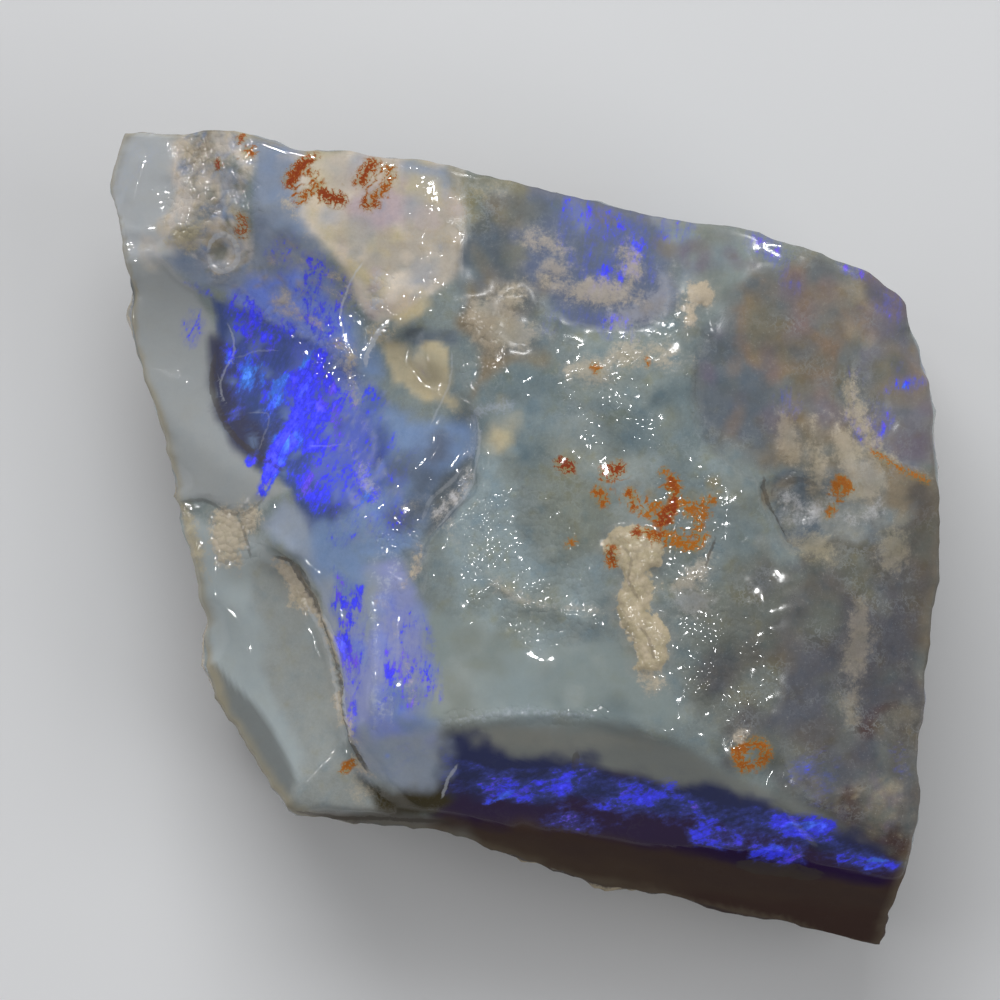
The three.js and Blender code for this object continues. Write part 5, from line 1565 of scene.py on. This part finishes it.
class OPAL_OT_stone(bpy.types.Operator):
    """Make the stone: divide the model's mesh, break up its surface and lay on its markings"""

    bl_idname = "opal.stone"
    bl_label = "Rough opal"

    def execute(self, context):
        surface, colours = context.scene.opal_surface, context.scene.opal_colours
        stone = divided_copy(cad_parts[NODE], surface.refine)
        mesh = stone.data
        points, normals = read_points(mesh)
        ground = Ground(points, normals)
        tint, grain, dull = lay_patches(ground, colours)
        lay_clouds(ground, colours, tint)
        lay_sides(ground, colours, tint, grain, dull)
        clay, clay_tone, clay_cover = lay_clay(ground)
        fire, hue, streaks = lay_fire(ground)
        kept = {
            "tint": np.column_stack([tint, np.ones(len(points))]), "grain": grain, "dull": dull,
            "clay": clay, "clay_tone": clay_tone, "clay_cover": clay_cover,
            "fire": fire, "hue": hue, "streaks": streaks, "grit": lay_grit(ground),
        }
        for name, table in (("rust", RUSTS), ("seam", SEAMS), ("frost_and_painted_glint", FROSTS_AND_PAINTED_GLINTS)):
            side, tone, width, presence = lay_lines(ground, table)
            kept |= {name: presence, name + "_side": side, name + "_tone": tone, name + "_width": width}
        moved = moved_points(ground, normals, surface, grain, clay, clay_cover)
        mesh.vertices.foreach_set("co", (moved * MM).ravel())
        for name, values in kept.items():
            add_attribute(mesh, name, values)
        mesh.materials.clear()
        mesh.materials.append(stone_material(colours, surface))
        mesh.shade_smooth()
        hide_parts(NODE)
        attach(stone, BODY)
        return {"FINISHED"}


def make_floor(scene, stage):
    """A wide plain floor."""
    corners = [(x * FLOOR_HALF, y * FLOOR_HALF, 0) for x, y in ((-1, -1), (1, -1), (1, 1), (-1, 1))]
    mesh = bpy.data.meshes.new("floor")
    mesh.from_pydata(corners, [], [(0, 1, 2, 3)])
    floor = bpy.data.objects.new("floor", mesh)
    scene.collection.objects.link(floor)
    material = bpy.data.materials.new("pale_floor")
    graph = Graph(material)
    finish = graph.node("BsdfPrincipled", Base_Color=rgba(stage.floor), Roughness=0.6)
    graph.node("OutputMaterial", Surface=graph.out(finish, "BSDF"))
    mesh.materials.append(material)


def make_sky(scene, stage):
    """Even white light from all round."""
    world = bpy.data.worlds.new("studio")
    world.use_nodes = True
    sky = world.node_tree.nodes["Background"]
    sky.inputs["Color"].default_value = (1, 1, 1, 1)
    sky.inputs["Strength"].default_value = stage.sky
    scene.world = world


def add_lamp(scene, name, place, size, power):
    """Adds a square lamp that points at the stone, and returns it."""
    data = bpy.data.lights.new(name, "AREA")
    data.size = size
    data.energy = power
    lamp = bpy.data.objects.new(name, data)
    lamp.location = place
    lamp.rotation_euler = (Vector(LAMP_AIM) - Vector(place)).to_track_quat("-Z", "Y").to_euler()
    scene.collection.objects.link(lamp)
    return lamp


def make_lamps(scene, stage):
    """Soft lamps that light without mirror images, and small ones that only make mirror images."""
    for name, place, size, part in SOFT_LAMPS:
        lamp = add_lamp(scene, name, place, size, stage.soft * part)
        lamp.visible_glossy = False
    for name, first, step, count, size, part in SMALL_LAMPS:
        for index in range(count):
            place = Vector(first) + Vector(step) * index
            lamp = add_lamp(scene, f"{name}_{index}", place, size, stage.sparks * part)
            lamp.visible_diffuse = False


def make_camera(scene, stage):
    """A long lens straight above the stone."""
    data = bpy.data.cameras.new("camera")
    data.sensor_width = 36
    data.lens = data.sensor_width * stage.distance / stage.picture
    data.clip_start = 0.01
    data.clip_end = 10
    camera = bpy.data.objects.new("camera", data)
    camera.location = (stage.centre_x, stage.centre_y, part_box(NODE)[1].z + stage.distance)
    scene.collection.objects.link(camera)
    scene.camera = camera


class OPAL_OT_stage(bpy.types.Operator):
    """Make the pale floor, the soft and small lamps and the camera that looks straight down"""

    bl_idname = "opal.stage"
    bl_label = "Stage"

    def execute(self, context):
        scene = context.scene
        for make in (make_floor, make_sky, make_lamps, make_camera):
            make(scene, scene.opal_stage)
        scene.view_settings.view_transform = "Standard"
        return {"FINISHED"}


class OPAL_PT_panel(bpy.types.Panel):
    """Lists the steps and settings of the opal"""

    bl_idname = "OPAL_PT_panel"
    bl_label = "Rough opal"
    bl_space_type = "VIEW_3D"
    bl_region_type = "UI"
    bl_category = "Opal"

    def draw(self, context):
        for step in OPERATORS:
            self.layout.operator(step.bl_idname)
        for group_name in SETTINGS:
            group = getattr(context.scene, group_name)
            for name in group.bl_rna.properties.keys():
                if name not in ("rna_type", "name"):
                    self.layout.prop(group, name)


OPERATORS = (OPAL_OT_stone, OPAL_OT_stage)
SETTINGS = {"opal_surface": OpalSurface, "opal_stage": OpalStage, "opal_colours": OpalColours}
CLASSES = (*SETTINGS.values(), *OPERATORS, OPAL_PT_panel)


def register():
    for made in CLASSES:
        bpy.utils.register_class(made)
    for name, group in SETTINGS.items():
        setattr(bpy.types.Scene, name, bpy.props.PointerProperty(type=group))


def unregister():
    for name in SETTINGS:
        delattr(bpy.types.Scene, name)
    for made in reversed(CLASSES):
        bpy.utils.unregister_class(made)


def main():
    """Makes the stone and its stage."""
    register()
    bpy.ops.opal.stone()
    bpy.ops.opal.stage()
    bpy.context.view_layer.update()


if __name__ == "__main__":
    main()
